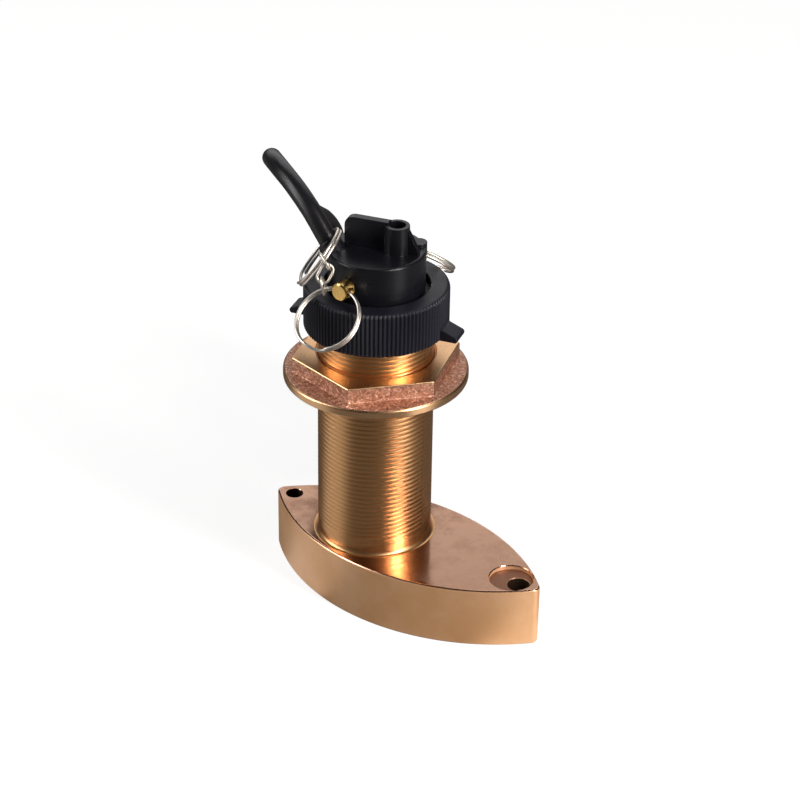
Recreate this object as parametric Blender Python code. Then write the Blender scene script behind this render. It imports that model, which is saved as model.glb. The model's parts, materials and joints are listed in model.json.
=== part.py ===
"""Sonar transducer for a boat's hull: a bronze blade-shaped housing with a threaded stem, its hull nut
and cap nut, and the removable plastic insert with its sensors, rings, chain and cable.

Metres, +Z up. The origin is on the floor under the middle of the blade, and +X runs along the blade,
towards the tip that is farther from the stem."""

import math

import bmesh
import bpy
from mathutils import Euler, Matrix, Vector

for old_object in list(bpy.data.objects):
    bpy.data.objects.remove(old_object, do_unlink=True)

# Gap left between pieces that touch
SEAT_GAP = 0.0003

# How far cutters reach past the faces they open, and how far joined shapes run into each other
CUT_PAST = 0.01
SHORT_CUT_PAST = 0.001
JOIN_DEPTH = 0.001

# Blade: the pointed oval base of the housing
BLADE_LENGTH = 0.1412
BLADE_WIDTH = 0.0624
BLADE_HEIGHT = 0.0285
BLADE_TIP_RADIUS = 0.0035
BLADE_EDGE_RADIUS = 0.0009
BOLT_HOLE_RADIUS = 0.0049
BOLT_HOLE_FROM_TIP = 0.0103
BOLT_SEAT_RADIUS = 0.00975
BOLT_SEAT_FROM_TIP = 0.0141
BOLT_SEAT_DEPTH = 0.002
SMALL_HOLE_RADIUS = 0.0037
SMALL_HOLE_FROM_TIP = 0.0086

# Stem of the housing
STEM_OFFSET = 0.0169
STEM_RADIUS = 0.0254
STEM_BORE_RADIUS = 0.0219
STEM_HEIGHT = 0.117
STEM_FOOT_RADIUS = 0.002
STEM_END_CHAMFER = 0.0007

# Hull nut
HULL_NUT_LIFT = 0.0785
HULL_NUT_HEIGHT = 0.0118
FLANGE_RADIUS = 0.0405
FLANGE_RIM_HEIGHT = 0.004
FLANGE_EDGE_RADIUS = 0.0009
FLANGE_RISE = 0.0008
HEX_CORNER_REACH = 0.0373
HEX_CORNER_RADIUS = 0.0015
HEX_EDGE_CHAMFER = 0.0007
HEX_TURN = math.radians(-13.4)
THREAD_CLEARANCE = 0.0003
HULL_NUT_BORE_CHAMFER = 0.0008

# Cap nut
CAP_RADIUS = 0.03155
CAP_HEIGHT = 0.020
CAP_TOP_WALL = 0.003
CAP_EDGE_RADIUS = 0.002
CAP_MOUTH_CHAMFER = 0.0005
CAP_MOUTH_CLEARANCE = 0.002
FLUTE_COUNT = 80
FLUTE_DEPTH = 0.0006
CAP_EAR_REACH = 0.0386
CAP_EAR_WIDTH = 0.010
CAP_EAR_HEIGHT = 0.0095
CAP_EAR_TIP_HEIGHT = 0.0028
CAP_EAR_CHAMFER = 0.0009
CAP_TURN = math.radians(14.3)

# Insert that fills the stem's bore
INSERT_CLEARANCE = 0.0004
INSERT_FACE_LIFT = 0.001
INSERT_EDGE_CHAMFER = 0.0008
INSERT_FLANGE_RADIUS = 0.025
INSERT_FLANGE_HEIGHT = 0.0027
CHAMBER_RADIUS = 0.0165
CHAMBER_FLOOR = 0.038
O_RING_SECTION_RADIUS = 0.0012
O_RING_FROM_FLOOR = (0.022, 0.028)
UPPER_O_RING_FROM_TOP = 0.0105

# Speed wheel in the insert's lower face
WHEEL_RADIUS = 0.0092
WHEEL_WIDTH = 0.0078
WHEEL_OFFSET = 0.009
WHEEL_FLOOR_GAP = 0.0008
WHEEL_TIP_CLEARANCE = 0.0007
WHEEL_SIDE_CLEARANCE = 0.0006
WHEEL_HUB_RADIUS = 0.0027
WHEEL_VANES = 4
VANE_THICKNESS = 0.0014
VANE_BOW = 0.0009
AXLE_RADIUS = 0.0008
AXLE_BLIND_REACH = 0.008
MAGNET_RADIUS = 0.0012
MAGNET_LENGTH = 0.003
MAGNET_WALL = 0.0007

# Depth element, probe and electronics
ELEMENT_OFFSET = -0.011
ELEMENT_RADIUS = 0.008
WINDOW_THICKNESS = 0.003
ELEMENT_THICKNESS = 0.0025
BACKING_THICKNESS = 0.009
PROBE_OFFSET = (0.002, -0.0145)
PROBE_RADIUS = 0.0022
PROBE_LENGTH = 0.011
SPEED_SENSOR_RADIUS = 0.0029
SPEED_SENSOR_WALL = 0.0022
BOARD_WIDTH = 0.028
BOARD_HEIGHT = 0.060
BOARD_THICKNESS = 0.0016

# Head of the insert, above the cap nut
NECK_RADIUS = 0.021
NECK_HEIGHT = 0.0193
NECK_EDGE_RADIUS = 0.0012
SPIGOT_DEPTH = 0.006
HEAD_TURN = math.radians(14.7)
FIN_THICKNESS = 0.0036
FIN_HEIGHT = 0.0134
FIN_END = 0.0142
FIN_CORNER_RADIUS = 0.004
HUB_OFFSET = 0.009
HUB_RADIUS = 0.0054
HUB_HEIGHT = 0.0124
HUB_HOLLOW_RADIUS = 0.00375
HUB_HOLLOW_DEPTH = 0.008
GUSSET_REACH = 0.019
GUSSET_THICKNESS = 0.0026
GUSSET_TOP = 0.0104
GUSSET_END_HEIGHT = 0.0014
LUG_RADIUS = 0.0035
LUG_FROM_AXIS = 0.0182
LUG_HEIGHT = 0.0014
LUG_DEPTH = 0.0066
LUG_TURN = math.radians(31.5)

# Pins through the neck, and their split rings
PIN_RISE = 0.0093
PIN_SHANK_RADIUS = 0.002
PIN_SHANK_END = 0.011
PIN_HEAD_RADIUS = 0.004
PIN_HEAD_LENGTH = 0.0064
PIN_HEAD_CHAMFER = 0.0006
PIN_EYE_FROM_HEAD = 0.0035
PIN_EYE_RADIUS = 0.0019
PIN_EYE_CHAMFER = 0.0009
RING_WIRE_RADIUS = 0.000675
RING_RADIUS = 0.0142
RING_TURN_PITCH = 0.0015
RING_STEP = math.radians(36)
RING_END_GAP = math.radians(8)
RING_STEP_PLACE = math.radians(200)
RING_LEAN = math.radians(50)
RING_EYE_OFFSET = 0.00028

# Split ring that hangs round the cable, measured from the stem's axis and the seat of the neck
SIDE_RING_CENTRE = (-0.02048, -0.01349, 0.01436)
SIDE_RING_AZIMUTH = math.radians(26.0)
SIDE_RING_ELEVATION = math.radians(-35.6)

# Chain between the side ring and the front ring: where it holds on to each ring, where its links
# meet, measured like the side ring, and how far each link is rolled about its own length
LINK_WIRE_RADIUS = 0.0006
LINK_HALF_LENGTH = 0.0042
LINK_HALF_WIDTH = 0.0026
CHAIN_SIDE_ANGLE = 1.0795
CHAIN_FRONT_ANGLE = -0.6056
CHAIN_JOINTS = (
    (-0.007445, -0.024723, 0.017845),
    (-0.008498, -0.027969, 0.013013),
)
CHAIN_ROLLS = (0.6135, 2.6120, 1.0943)

# Cable: across, away and up, from the foot of the stem's axis, in the turned frame of the coil
CABLE_RADIUS = 0.0043
CORD_TURN = math.radians(34.3)
SOCKET_RADIUS = 0.0054
SOCKET_LENGTH = 0.010
CABLE_ROUTE = (
    (-0.0204, 0.0040, 0.1685),
    (-0.0221, 0.0056, 0.1710),
    (-0.0287, 0.0131, 0.1794),
    (-0.0356, 0.0227, 0.1853),
    (-0.0418, 0.0335, 0.1881),
    (-0.0459, 0.0448, 0.1876),
    (-0.0473, 0.0548, 0.1842),
    (-0.0476, 0.0750, 0.1738),
    (-0.0449, 0.0900, 0.1620),
    (-0.0397, 0.1080, 0.1452),
    (-0.0334, 0.1260, 0.1251),
    (-0.0268, 0.1425, 0.1120),
    (-0.0225, 0.1502, 0.1005),
    (-0.0219, 0.1504, 0.0891),
)
CABLE_POINT_SPACING = 0.018

# Stored coil, standing on its edge behind the blade
COIL_DISTANCE = 0.0985
COIL_LIFT = 0.0002
COIL_INNER_TURN_RADIUS = 0.0344
COIL_LAYERS = 3
COIL_COLUMNS = 6
COIL_PITCH = 0.00875
COIL_EDGE_RADIUS = 0.003
COIL_STUB_LENGTH = 0.0318
STUB_INSET = 0.0002
COIL_EXIT_COLUMN = 4
TIE_THICKNESS = 0.0012
TIE_WIDTH = 0.005
TIE_PLACE = math.radians(72)

# Connector on the cable's far end
CONNECTOR_TILT = math.radians(4.5)
CONNECTOR_GRIP_LENGTH = 0.023
CONNECTOR_TAPER_LENGTH = 0.014
CONNECTOR_GRIP_RADIUS = 0.0058
CONNECTOR_NOSE_RADIUS = 0.0042
CONNECTOR_NOSE_LENGTH = 0.0105
COLLAR_RADIUS = 0.007
COLLAR_LENGTH = 0.012
COLLAR_RIBS = 16
COLLAR_RIB_DEPTH = 0.0004
CONTACT_COUNT = 5
CONTACT_RADIUS = 0.0005
CONTACT_CIRCLE_RADIUS = 0.0022
CONTACT_REACH = 0.004

# Segments round each kind of round piece
STEM_SEGMENTS = 44
HEAD_SEGMENTS = 32
BODY_SEGMENTS = 24
RING_SEGMENTS = 20
SMALL_SEGMENTS = 16
TINY_SEGMENTS = 12
CONTACT_SEGMENTS = 8

# Heights and radii that follow from the sizes above
STEM_TOP = BLADE_HEIGHT + STEM_HEIGHT
INSERT_RADIUS = STEM_BORE_RADIUS - INSERT_CLEARANCE
INSERT_SEAT = STEM_TOP + SEAT_GAP
INSERT_TOP = INSERT_SEAT + INSERT_FLANGE_HEIGHT
CAP_TOP = INSERT_TOP + SEAT_GAP + CAP_TOP_WALL
CAP_BOTTOM = CAP_TOP - CAP_HEIGHT
CAP_MOUTH_RADIUS = NECK_RADIUS + CAP_MOUTH_CLEARANCE
NUT_BORE_RADIUS = STEM_RADIUS + THREAD_CLEARANCE
NECK_SEAT = INSERT_TOP + SEAT_GAP
NECK_TOP = NECK_SEAT + NECK_HEIGHT
PIN_HEIGHT = NECK_SEAT + PIN_RISE
PIN_HEAD_START = NECK_RADIUS + SEAT_GAP
PIN_EYE_DISTANCE = PIN_HEAD_START + PIN_EYE_FROM_HEAD
O_RING_HEIGHTS = (*O_RING_FROM_FLOOR, STEM_TOP - UPPER_O_RING_FROM_TOP)
WHEEL_HEIGHT = WHEEL_FLOOR_GAP + WHEEL_RADIUS
COIL_OUTER_TURN_RADIUS = COIL_INNER_TURN_RADIUS + (COIL_LAYERS - 1) * COIL_PITCH
COIL_OUTER_RADIUS = COIL_OUTER_TURN_RADIUS + CABLE_RADIUS
COIL_INNER_RADIUS = COIL_INNER_TURN_RADIUS - CABLE_RADIUS
COIL_HALF_WIDTH = (COIL_COLUMNS - 1) * COIL_PITCH / 2 + CABLE_RADIUS
COIL_HEIGHT = COIL_LIFT + COIL_OUTER_RADIUS


def material(name, colour, roughness, metallic):
    """A Principled material with one colour."""
    made = bpy.data.materials.new(name)
    made.use_nodes = True
    shader = made.node_tree.nodes["Principled BSDF"]
    shader.inputs["Base Color"].default_value = (*colour, 1.0)
    shader.inputs["Roughness"].default_value = roughness
    shader.inputs["Metallic"].default_value = metallic
    return made


def bronze():
    return material("bronze", (0.52, 0.30, 0.15), 0.42, 1.0)


def brass():
    return material("brass", (0.75, 0.50, 0.20), 0.3, 1.0)


def steel():
    return material("steel", (0.62, 0.59, 0.55), 0.28, 1.0)


def black_plastic():
    return material("black_plastic", (0.016, 0.015, 0.018), 0.45, 0.0)


def wheel_plastic():
    return material("wheel_plastic", (0.03, 0.03, 0.035), 0.5, 0.0)


def rubber():
    return material("rubber", (0.02, 0.02, 0.02), 0.65, 0.0)


def ceramic():
    return material("ceramic", (0.62, 0.58, 0.48), 0.55, 0.0)


def board_green():
    return material("board_green", (0.03, 0.16, 0.06), 0.45, 0.0)


def magnet_grey():
    return material("magnet_grey", (0.20, 0.20, 0.21), 0.4, 1.0)


def show(name, data, look, parent=None, sharp_angle=math.radians(32)):
    """Put a mesh or a curve into the scene as one object with its material."""
    data.materials.append(look)
    if isinstance(data, bpy.types.Mesh):
        data.shade_smooth()
        data.set_sharp_from_angle(angle=sharp_angle)
    made = bpy.data.objects.new(name, data)
    made.parent = parent
    bpy.context.collection.objects.link(made)
    return made


def mesh_of(name, form):
    """Turn a closed bmesh into a mesh with its faces pointing out."""
    bmesh.ops.recalc_face_normals(form, faces=form.faces)
    mesh = bpy.data.meshes.new(name)
    form.to_mesh(mesh)
    form.free()
    return mesh


def loft(levels):
    """Skin closed outlines of equal point counts one after another and close both ends."""
    form = bmesh.new()
    rows = [[form.verts.new(point) for point in level] for level in levels]
    count = len(rows[0])
    for lower, upper in zip(rows, rows[1:]):
        for index in range(count):
            following = (index + 1) % count
            form.faces.new((lower[index], lower[following], upper[following], upper[index]))
    form.faces.new(reversed(rows[0]))
    form.faces.new(rows[-1])
    return form


def turned(profile, segments):
    """Turn a closed outline of (radius, height) points round the Z axis; a point on the axis is a pole."""
    form = bmesh.new()
    rows = []
    for radius, height in profile:
        if radius == 0.0:
            rows.append([form.verts.new((0.0, 0.0, height))])
            continue
        angles = (2 * math.pi * index / segments for index in range(segments))
        rows.append([form.verts.new((radius * math.cos(a), radius * math.sin(a), height)) for a in angles])
    for first, second in zip(rows, rows[1:] + rows[:1]):
        if len(first) == 1 and len(second) == 1:
            continue
        for index in range(segments):
            following = (index + 1) % segments
            corners = [first[index % len(first)], first[following % len(first)],
                       second[following % len(second)], second[index % len(second)]]
            form.faces.new(list(dict.fromkeys(corners)))
    return form


def arc(centre, radius, start, end, steps):
    """Points along an arc in a plane, from one angle to another."""
    angles = [start + (end - start) * step / steps for step in range(steps + 1)]
    return [(centre[0] + radius * math.cos(angle), centre[1] + radius * math.sin(angle)) for angle in angles]


def rod_profile(radius, start, end):
    """The outline of a plain round rod along Z."""
    return [(0.0, start), (radius, start), (radius, end), (0.0, end)]


def plate(outline, thickness):
    """A flat plate whose outline lies in the XZ plane, centred on Y."""
    half = thickness / 2
    return loft([[(x, -half, z) for x, z in outline], [(x, half, z) for x, z in outline]])


def guide(name, form, parent=None, location=(0, 0, 0), rotation=(0, 0, 0)):
    """A cutter, or a shape to be joined on: drawn as wire and left out of the model."""
    made = bpy.data.objects.new(name, mesh_of(name, form))
    made.parent = parent
    made.location = location
    made.rotation_euler = rotation
    made.hide_render = True
    made.display_type = 'WIRE'
    bpy.context.collection.objects.link(made)
    return made


def combine(target, tool, operation):
    """Join a guide to a piece with 'UNION', or cut it out with 'DIFFERENCE'."""
    step = target.modifiers.new(tool.name, 'BOOLEAN')
    step.operation = operation
    step.solver = 'EXACT'
    step.object = tool


def empty(name, location):
    made = bpy.data.objects.new(name, None)
    made.location = location
    bpy.context.collection.objects.link(made)
    return made


STEM_AXIS = empty("stem_axis", (-STEM_OFFSET, 0.0, 0.0))


def blade_outline(inset, height):
    """One level of the blade: two side arcs, each running into a small arc at both tips.

    The side arcs' radius follows from the length, the width and the tips' radius."""
    tip_x = BLADE_LENGTH / 2 - BLADE_TIP_RADIUS
    half_width = BLADE_WIDTH / 2
    half_span = half_width - BLADE_TIP_RADIUS
    side_radius = (tip_x ** 2 + half_width ** 2 - BLADE_TIP_RADIUS ** 2) / (2 * half_span)
    side_y = side_radius - half_width
    lean = math.atan2(side_y, tip_x)
    radius = side_radius - inset
    tip = BLADE_TIP_RADIUS - inset
    points = arc((tip_x, 0.0), tip, -lean, lean, 4)
    points += arc((0.0, -side_y), radius, lean, math.pi - lean, 18)[1:-1]
    points += arc((-tip_x, 0.0), tip, math.pi - lean, math.pi + lean, 4)
    points += arc((0.0, side_y), radius, math.pi + lean, 2 * math.pi - lean, 18)[1:-1]
    return [(x, y, height) for x, y in points]


def rounded_levels(outline, bottom, top, radius, steps=2):
    """Levels of a block whose lower and upper edges are rounded; outline gives a level for an inset."""
    lower = [outline(radius * (1 - math.sin(a)), bottom + radius * (1 - math.cos(a)))
             for a in (math.pi / 2 * step / steps for step in range(steps + 1))]
    upper = [outline(radius * (1 - math.cos(a)), top - radius * (1 - math.sin(a)))
             for a in (math.pi / 2 * step / steps for step in range(steps + 1))]
    return lower + upper


def make_housing():
    """Blade and stem in one casting, with the bore and the two bolt holes."""
    levels = rounded_levels(blade_outline, 0.0, BLADE_HEIGHT, BLADE_EDGE_RADIUS)
    housing = show("housing", mesh_of("housing", loft(levels)), bronze())

    foot = arc((STEM_RADIUS + STEM_FOOT_RADIUS, BLADE_HEIGHT + STEM_FOOT_RADIUS), STEM_FOOT_RADIUS,
               1.5 * math.pi, math.pi, 3)
    stem = [(0.0, BLADE_HEIGHT / 2), (foot[0][0], BLADE_HEIGHT / 2)] + foot
    stem += [(STEM_RADIUS, STEM_TOP - STEM_END_CHAMFER), (STEM_RADIUS - STEM_END_CHAMFER, STEM_TOP)]
    stem += [(0.0, STEM_TOP)]
    combine(housing, guide("stem_form", turned(stem, STEM_SEGMENTS), STEM_AXIS), 'UNION')

    mouth = STEM_BORE_RADIUS + STEM_END_CHAMFER
    past = STEM_TOP + CUT_PAST
    bore = [(0.0, -CUT_PAST), (mouth, -CUT_PAST), (mouth, 0.0), (STEM_BORE_RADIUS, STEM_END_CHAMFER)]
    bore += [(STEM_BORE_RADIUS, STEM_TOP - STEM_END_CHAMFER), (mouth, STEM_TOP), (mouth, past), (0.0, past)]
    combine(housing, guide("stem_bore", turned(bore, STEM_SEGMENTS), STEM_AXIS), 'DIFFERENCE')

    over = BLADE_HEIGHT + CUT_PAST
    half = BLADE_LENGTH / 2
    bolt_form = turned(rod_profile(BOLT_HOLE_RADIUS, -CUT_PAST, over), RING_SEGMENTS)
    bolt = guide("bolt_hole", bolt_form, location=(half - BOLT_HOLE_FROM_TIP, 0.0, 0.0))
    seat_form = turned(rod_profile(BOLT_SEAT_RADIUS, BLADE_HEIGHT - BOLT_SEAT_DEPTH, over), HEAD_SEGMENTS)
    seat = guide("bolt_seat", seat_form, location=(half - BOLT_SEAT_FROM_TIP, 0.0, 0.0))
    small_form = turned(rod_profile(SMALL_HOLE_RADIUS, -CUT_PAST, over), SMALL_SEGMENTS)
    small = guide("small_hole", small_form, location=(-half + SMALL_HOLE_FROM_TIP, 0.0, 0.0))
    for tool in (bolt, seat, small):
        combine(housing, tool, 'DIFFERENCE')


def hexagon(inset, height):
    """One level of the hexagon, with a small arc at each corner."""
    radius = HEX_CORNER_RADIUS - inset
    points = []
    for corner in range(6):
        angle = math.radians(60 * corner)
        reach = HEX_CORNER_REACH - HEX_CORNER_RADIUS
        centre = (reach * math.cos(angle), reach * math.sin(angle))
        points += arc(centre, radius, angle - math.radians(30), angle + math.radians(30), 2)
    return [(x, y, height) for x, y in points]


def make_hull_nut():
    """Round flange and hexagon in one casting, free to run along the stem."""
    edge = FLANGE_EDGE_RADIUS
    rim_top = FLANGE_RIM_HEIGHT
    rim = arc((FLANGE_RADIUS - edge, edge), edge, -math.pi / 2, 0.0, 2)
    rim += arc((FLANGE_RADIUS - edge, rim_top - edge), edge, 0.0, math.pi / 2, 2)
    flange = [(0.0, 0.0)] + rim
    flange += [(HEX_CORNER_REACH * math.cos(math.radians(30)), rim_top + FLANGE_RISE)]
    flange += [(0.0, rim_top + FLANGE_RISE)]
    nut = show("hull_nut", mesh_of("hull_nut", turned(flange, STEM_SEGMENTS)), bronze(), STEM_AXIS)
    nut.location = (0.0, 0.0, BLADE_HEIGHT + HULL_NUT_LIFT)

    chamfer = HEX_EDGE_CHAMFER
    top = HULL_NUT_HEIGHT
    levels = [hexagon(0.0, rim_top / 2), hexagon(0.0, top - chamfer), hexagon(chamfer, top)]
    combine(nut, guide("hexagon_form", loft(levels), nut, rotation=(0, 0, HEX_TURN)), 'UNION')

    wide = NUT_BORE_RADIUS + HULL_NUT_BORE_CHAMFER
    past = top + CUT_PAST
    bore = [(0.0, -CUT_PAST), (wide, -CUT_PAST), (wide, 0.0), (NUT_BORE_RADIUS, HULL_NUT_BORE_CHAMFER)]
    bore += [(NUT_BORE_RADIUS, top - HULL_NUT_BORE_CHAMFER), (wide, top), (wide, past), (0.0, past)]
    combine(nut, guide("hull_nut_bore", turned(bore, STEM_SEGMENTS), nut), 'DIFFERENCE')


def fluted_outline(inset, height):
    """One level of the cap nut's wall: crests and hollows in turn, the hollows fading with the inset."""
    hollow = FLUTE_DEPTH * (1 - min(inset / CAP_EDGE_RADIUS, 1.0) ** 2)
    points = []
    for index in range(2 * FLUTE_COUNT):
        angle = math.pi * index / FLUTE_COUNT
        radius = CAP_RADIUS - inset - hollow * (index % 2)
        points.append((radius * math.cos(angle), radius * math.sin(angle), height))
    return points


def make_cap_nut():
    """Ribbed cap nut, screwed over the stem's end, with its round mouth and two ears."""
    edge = CAP_EDGE_RADIUS
    levels = [fluted_outline(CAP_MOUTH_CHAMFER, 0.0), fluted_outline(0.0, CAP_MOUTH_CHAMFER)]
    levels += [fluted_outline(edge * (1 - math.cos(a)), CAP_HEIGHT - edge * (1 - math.sin(a)))
               for a in (0.0, math.radians(45), math.radians(90))]
    cap = show("cap_nut", mesh_of("cap_nut", loft(levels)), black_plastic(), STEM_AXIS)
    cap.location = (0.0, 0.0, CAP_BOTTOM)
    cap.rotation_euler = (0, 0, CAP_TURN)

    inside = CAP_RADIUS - 2 * edge
    tip = CAP_EAR_REACH
    corner = CAP_EAR_CHAMFER
    side = [(inside, 0.0), (tip - corner, 0.0), (tip, corner), (tip, CAP_EAR_TIP_HEIGHT - corner)]
    side += [(tip - corner, CAP_EAR_TIP_HEIGHT), (CAP_RADIUS, CAP_EAR_HEIGHT), (inside, CAP_EAR_HEIGHT)]
    for name, turn in (("ear_form_near", 0.0), ("ear_form_far", math.pi)):
        combine(cap, guide(name, plate(side, CAP_EAR_WIDTH), cap, rotation=(0, 0, turn)), 'UNION')

    hollow_top = CAP_HEIGHT - CAP_TOP_WALL
    past = CAP_HEIGHT + CUT_PAST
    hollow = [(0.0, -CUT_PAST), (NUT_BORE_RADIUS, -CUT_PAST), (NUT_BORE_RADIUS, hollow_top)]
    hollow += [(CAP_MOUTH_RADIUS, hollow_top), (CAP_MOUTH_RADIUS, past), (0.0, past)]
    combine(cap, guide("cap_hollow", turned(hollow, STEM_SEGMENTS), cap), 'DIFFERENCE')


def o_ring_groove(height):
    """The outline of one groove, a seat gap wider than its ring on each side, from bottom to top."""
    floor = INSERT_RADIUS - 2 * O_RING_SECTION_RADIUS
    half = O_RING_SECTION_RADIUS + SEAT_GAP
    return [(INSERT_RADIUS, height - half), (floor, height - half), (floor, height + half),
            (INSERT_RADIUS, height + half)]


def make_insert_body():
    """The plug in the bore: sensor pockets in its face, three seal grooves and a chamber for the board."""
    face = INSERT_FACE_LIFT
    edge = INSERT_EDGE_CHAMFER
    profile = [(0.0, face), (INSERT_RADIUS - edge, face), (INSERT_RADIUS, face + edge)]
    for height in O_RING_HEIGHTS:
        profile += o_ring_groove(height)
    profile += [(INSERT_RADIUS, INSERT_SEAT), (INSERT_FLANGE_RADIUS, INSERT_SEAT)]
    profile += [(INSERT_FLANGE_RADIUS, INSERT_TOP), (CHAMBER_RADIUS, INSERT_TOP)]
    profile += [(CHAMBER_RADIUS, CHAMBER_FLOOR), (0.0, CHAMBER_FLOOR)]
    form = mesh_of("insert_body", turned(profile, BODY_SEGMENTS))
    body = show("insert_body", form, black_plastic(), STEM_AXIS)

    reach = WHEEL_RADIUS + WHEEL_TIP_CLEARANCE
    below = -CUT_PAST - WHEEL_HEIGHT
    pit = [(-reach, below), (reach, below)] + arc((0.0, 0.0), reach, 0.0, math.pi, 14)
    pit_width = WHEEL_WIDTH + 2 * WHEEL_SIDE_CLEARANCE
    hub = (WHEEL_OFFSET, 0.0, WHEEL_HEIGHT)
    cutters = [guide("wheel_pit", plate(pit, pit_width), body, hub)]

    hole = rod_profile(AXLE_RADIUS + SEAT_GAP, -AXLE_BLIND_REACH - SEAT_GAP, INSERT_RADIUS + SHORT_CUT_PAST)
    cutters.append(guide("axle_hole", turned(hole, TINY_SEGMENTS), body, hub, (-math.pi / 2, 0, 0)))

    pocket = rod_profile(ELEMENT_RADIUS + SEAT_GAP, -CUT_PAST, element_stack_top() + SEAT_GAP)
    cutters.append(guide("element_pocket", turned(pocket, SMALL_SEGMENTS), body, (ELEMENT_OFFSET, 0.0, 0.0)))

    probe_top = INSERT_FACE_LIFT + PROBE_LENGTH + SEAT_GAP
    probe_hole = rod_profile(PROBE_RADIUS + SEAT_GAP, -CUT_PAST, probe_top)
    cutters.append(guide("probe_hole", turned(probe_hole, TINY_SEGMENTS), body, (*PROBE_OFFSET, 0.0)))

    sensor_hole = rod_profile(SPEED_SENSOR_RADIUS + SEAT_GAP, speed_sensor_floor() - SEAT_GAP,
                              CHAMBER_FLOOR + SHORT_CUT_PAST)
    cutters.append(guide("sensor_hole", turned(sensor_hole, TINY_SEGMENTS), body, (WHEEL_OFFSET, 0.0, 0.0)))
    for cutter in cutters:
        combine(body, cutter, 'DIFFERENCE')


def element_stack_top():
    """Height of the backing's upper face, above window, element and the gaps between them."""
    return INSERT_FACE_LIFT + WINDOW_THICKNESS + ELEMENT_THICKNESS + BACKING_THICKNESS + 2 * SEAT_GAP


def speed_sensor_floor():
    """Height of the speed sensor's lower end, a thin wall above the wheel's pit."""
    return WHEEL_HEIGHT + WHEEL_RADIUS + WHEEL_TIP_CLEARANCE + SPEED_SENSOR_WALL


def make_o_ring(name, height):
    """A rubber ring in its groove, a little proud of the insert."""
    section = O_RING_SECTION_RADIUS
    centre = INSERT_RADIUS - 2 * section + SEAT_GAP + section
    profile = arc((centre, height), section, 0.0, 2 * math.pi, 6)[:-1]
    show(name, mesh_of(name, turned(profile, SMALL_SEGMENTS)), rubber(), STEM_AXIS, math.radians(80))


def magnet_boss_radius():
    """Radius of the boss at a vane's tip, with its wall round the magnet's socket."""
    return MAGNET_RADIUS + SEAT_GAP + MAGNET_WALL


def wheel_outline():
    """The wheel seen along its axle: hub arcs, bowed vanes and a round boss at each vane's tip."""
    half = VANE_THICKNESS / 2
    boss = magnet_boss_radius()
    boss_place = WHEEL_RADIUS - boss
    start = math.sqrt(WHEEL_HUB_RADIUS ** 2 - half ** 2)
    end = boss_place - math.sqrt(boss ** 2 - half ** 2)
    shares = [step / 4 for step in range(1, 4)]
    rear = [(start + (end - start) * t, -half - VANE_BOW * math.sin(math.pi * t)) for t in shares]
    front = [(x, y + VANE_THICKNESS) for x, y in reversed(rear)]
    hub_angle = math.asin(half / WHEEL_HUB_RADIUS)
    boss_angle = math.pi - math.asin(half / boss)
    sector = 2 * math.pi / WHEEL_VANES
    vane = [(start, -half)] + rear + arc((boss_place, 0.0), boss, -boss_angle, boss_angle, 6)
    vane += front + arc((0.0, 0.0), WHEEL_HUB_RADIUS, hub_angle, sector - hub_angle, 4)[:-1]
    points = []
    for index in range(WHEEL_VANES):
        c = math.cos(sector * index)
        s = math.sin(sector * index)
        points += [(x * c - y * s, x * s + y * c) for x, y in vane]
    return points


def make_paddlewheel():
    """Hub and four bowed vanes in one moulding, each with a magnet in its tip; its axle runs along Y."""
    half = WHEEL_WIDTH / 2
    outline = wheel_outline()
    form = loft([[(x, y, -half) for x, y in outline], [(x, y, half) for x, y in outline]])
    wheel = show("paddlewheel", mesh_of("paddlewheel", form), wheel_plastic(), STEM_AXIS)
    wheel.location = (WHEEL_OFFSET, 0.0, WHEEL_HEIGHT)
    wheel.rotation_euler = (-math.pi / 2, 0, 0)
    past = half + SHORT_CUT_PAST
    bore = turned(rod_profile(AXLE_RADIUS + SEAT_GAP, -past, past), TINY_SEGMENTS)
    combine(wheel, guide("wheel_bore", bore, wheel), 'DIFFERENCE')
    for index in range(WHEEL_VANES):
        turn = 2 * math.pi * index / WHEEL_VANES
        reach = WHEEL_RADIUS - magnet_boss_radius()
        place = (reach * math.cos(turn), reach * math.sin(turn), 0.0)
        floor = half - MAGNET_LENGTH - 2 * SEAT_GAP
        socket = turned(rod_profile(MAGNET_RADIUS + SEAT_GAP, floor, past), TINY_SEGMENTS)
        combine(wheel, guide(f"magnet_socket_{index + 1}", socket, wheel, place), 'DIFFERENCE')
        top = half - SEAT_GAP
        name = f"wheel_magnet_{index + 1}"
        magnet = turned(rod_profile(MAGNET_RADIUS, top - MAGNET_LENGTH, top), TINY_SEGMENTS)
        made = show(name, mesh_of(name, magnet), magnet_grey(), wheel)
        made.location = place


def make_axle():
    """Steel pin of the wheel, pushed in from the insert's side."""
    outer_end = math.sqrt(INSERT_RADIUS ** 2 - WHEEL_OFFSET ** 2) - 2 * SEAT_GAP
    form = turned(rod_profile(AXLE_RADIUS, -AXLE_BLIND_REACH, outer_end), TINY_SEGMENTS)
    axle = show("paddle_axle", mesh_of("paddle_axle", form), steel(), STEM_AXIS)
    axle.location = (WHEEL_OFFSET, 0.0, WHEEL_HEIGHT)
    axle.rotation_euler = (-math.pi / 2, 0, 0)


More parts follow.
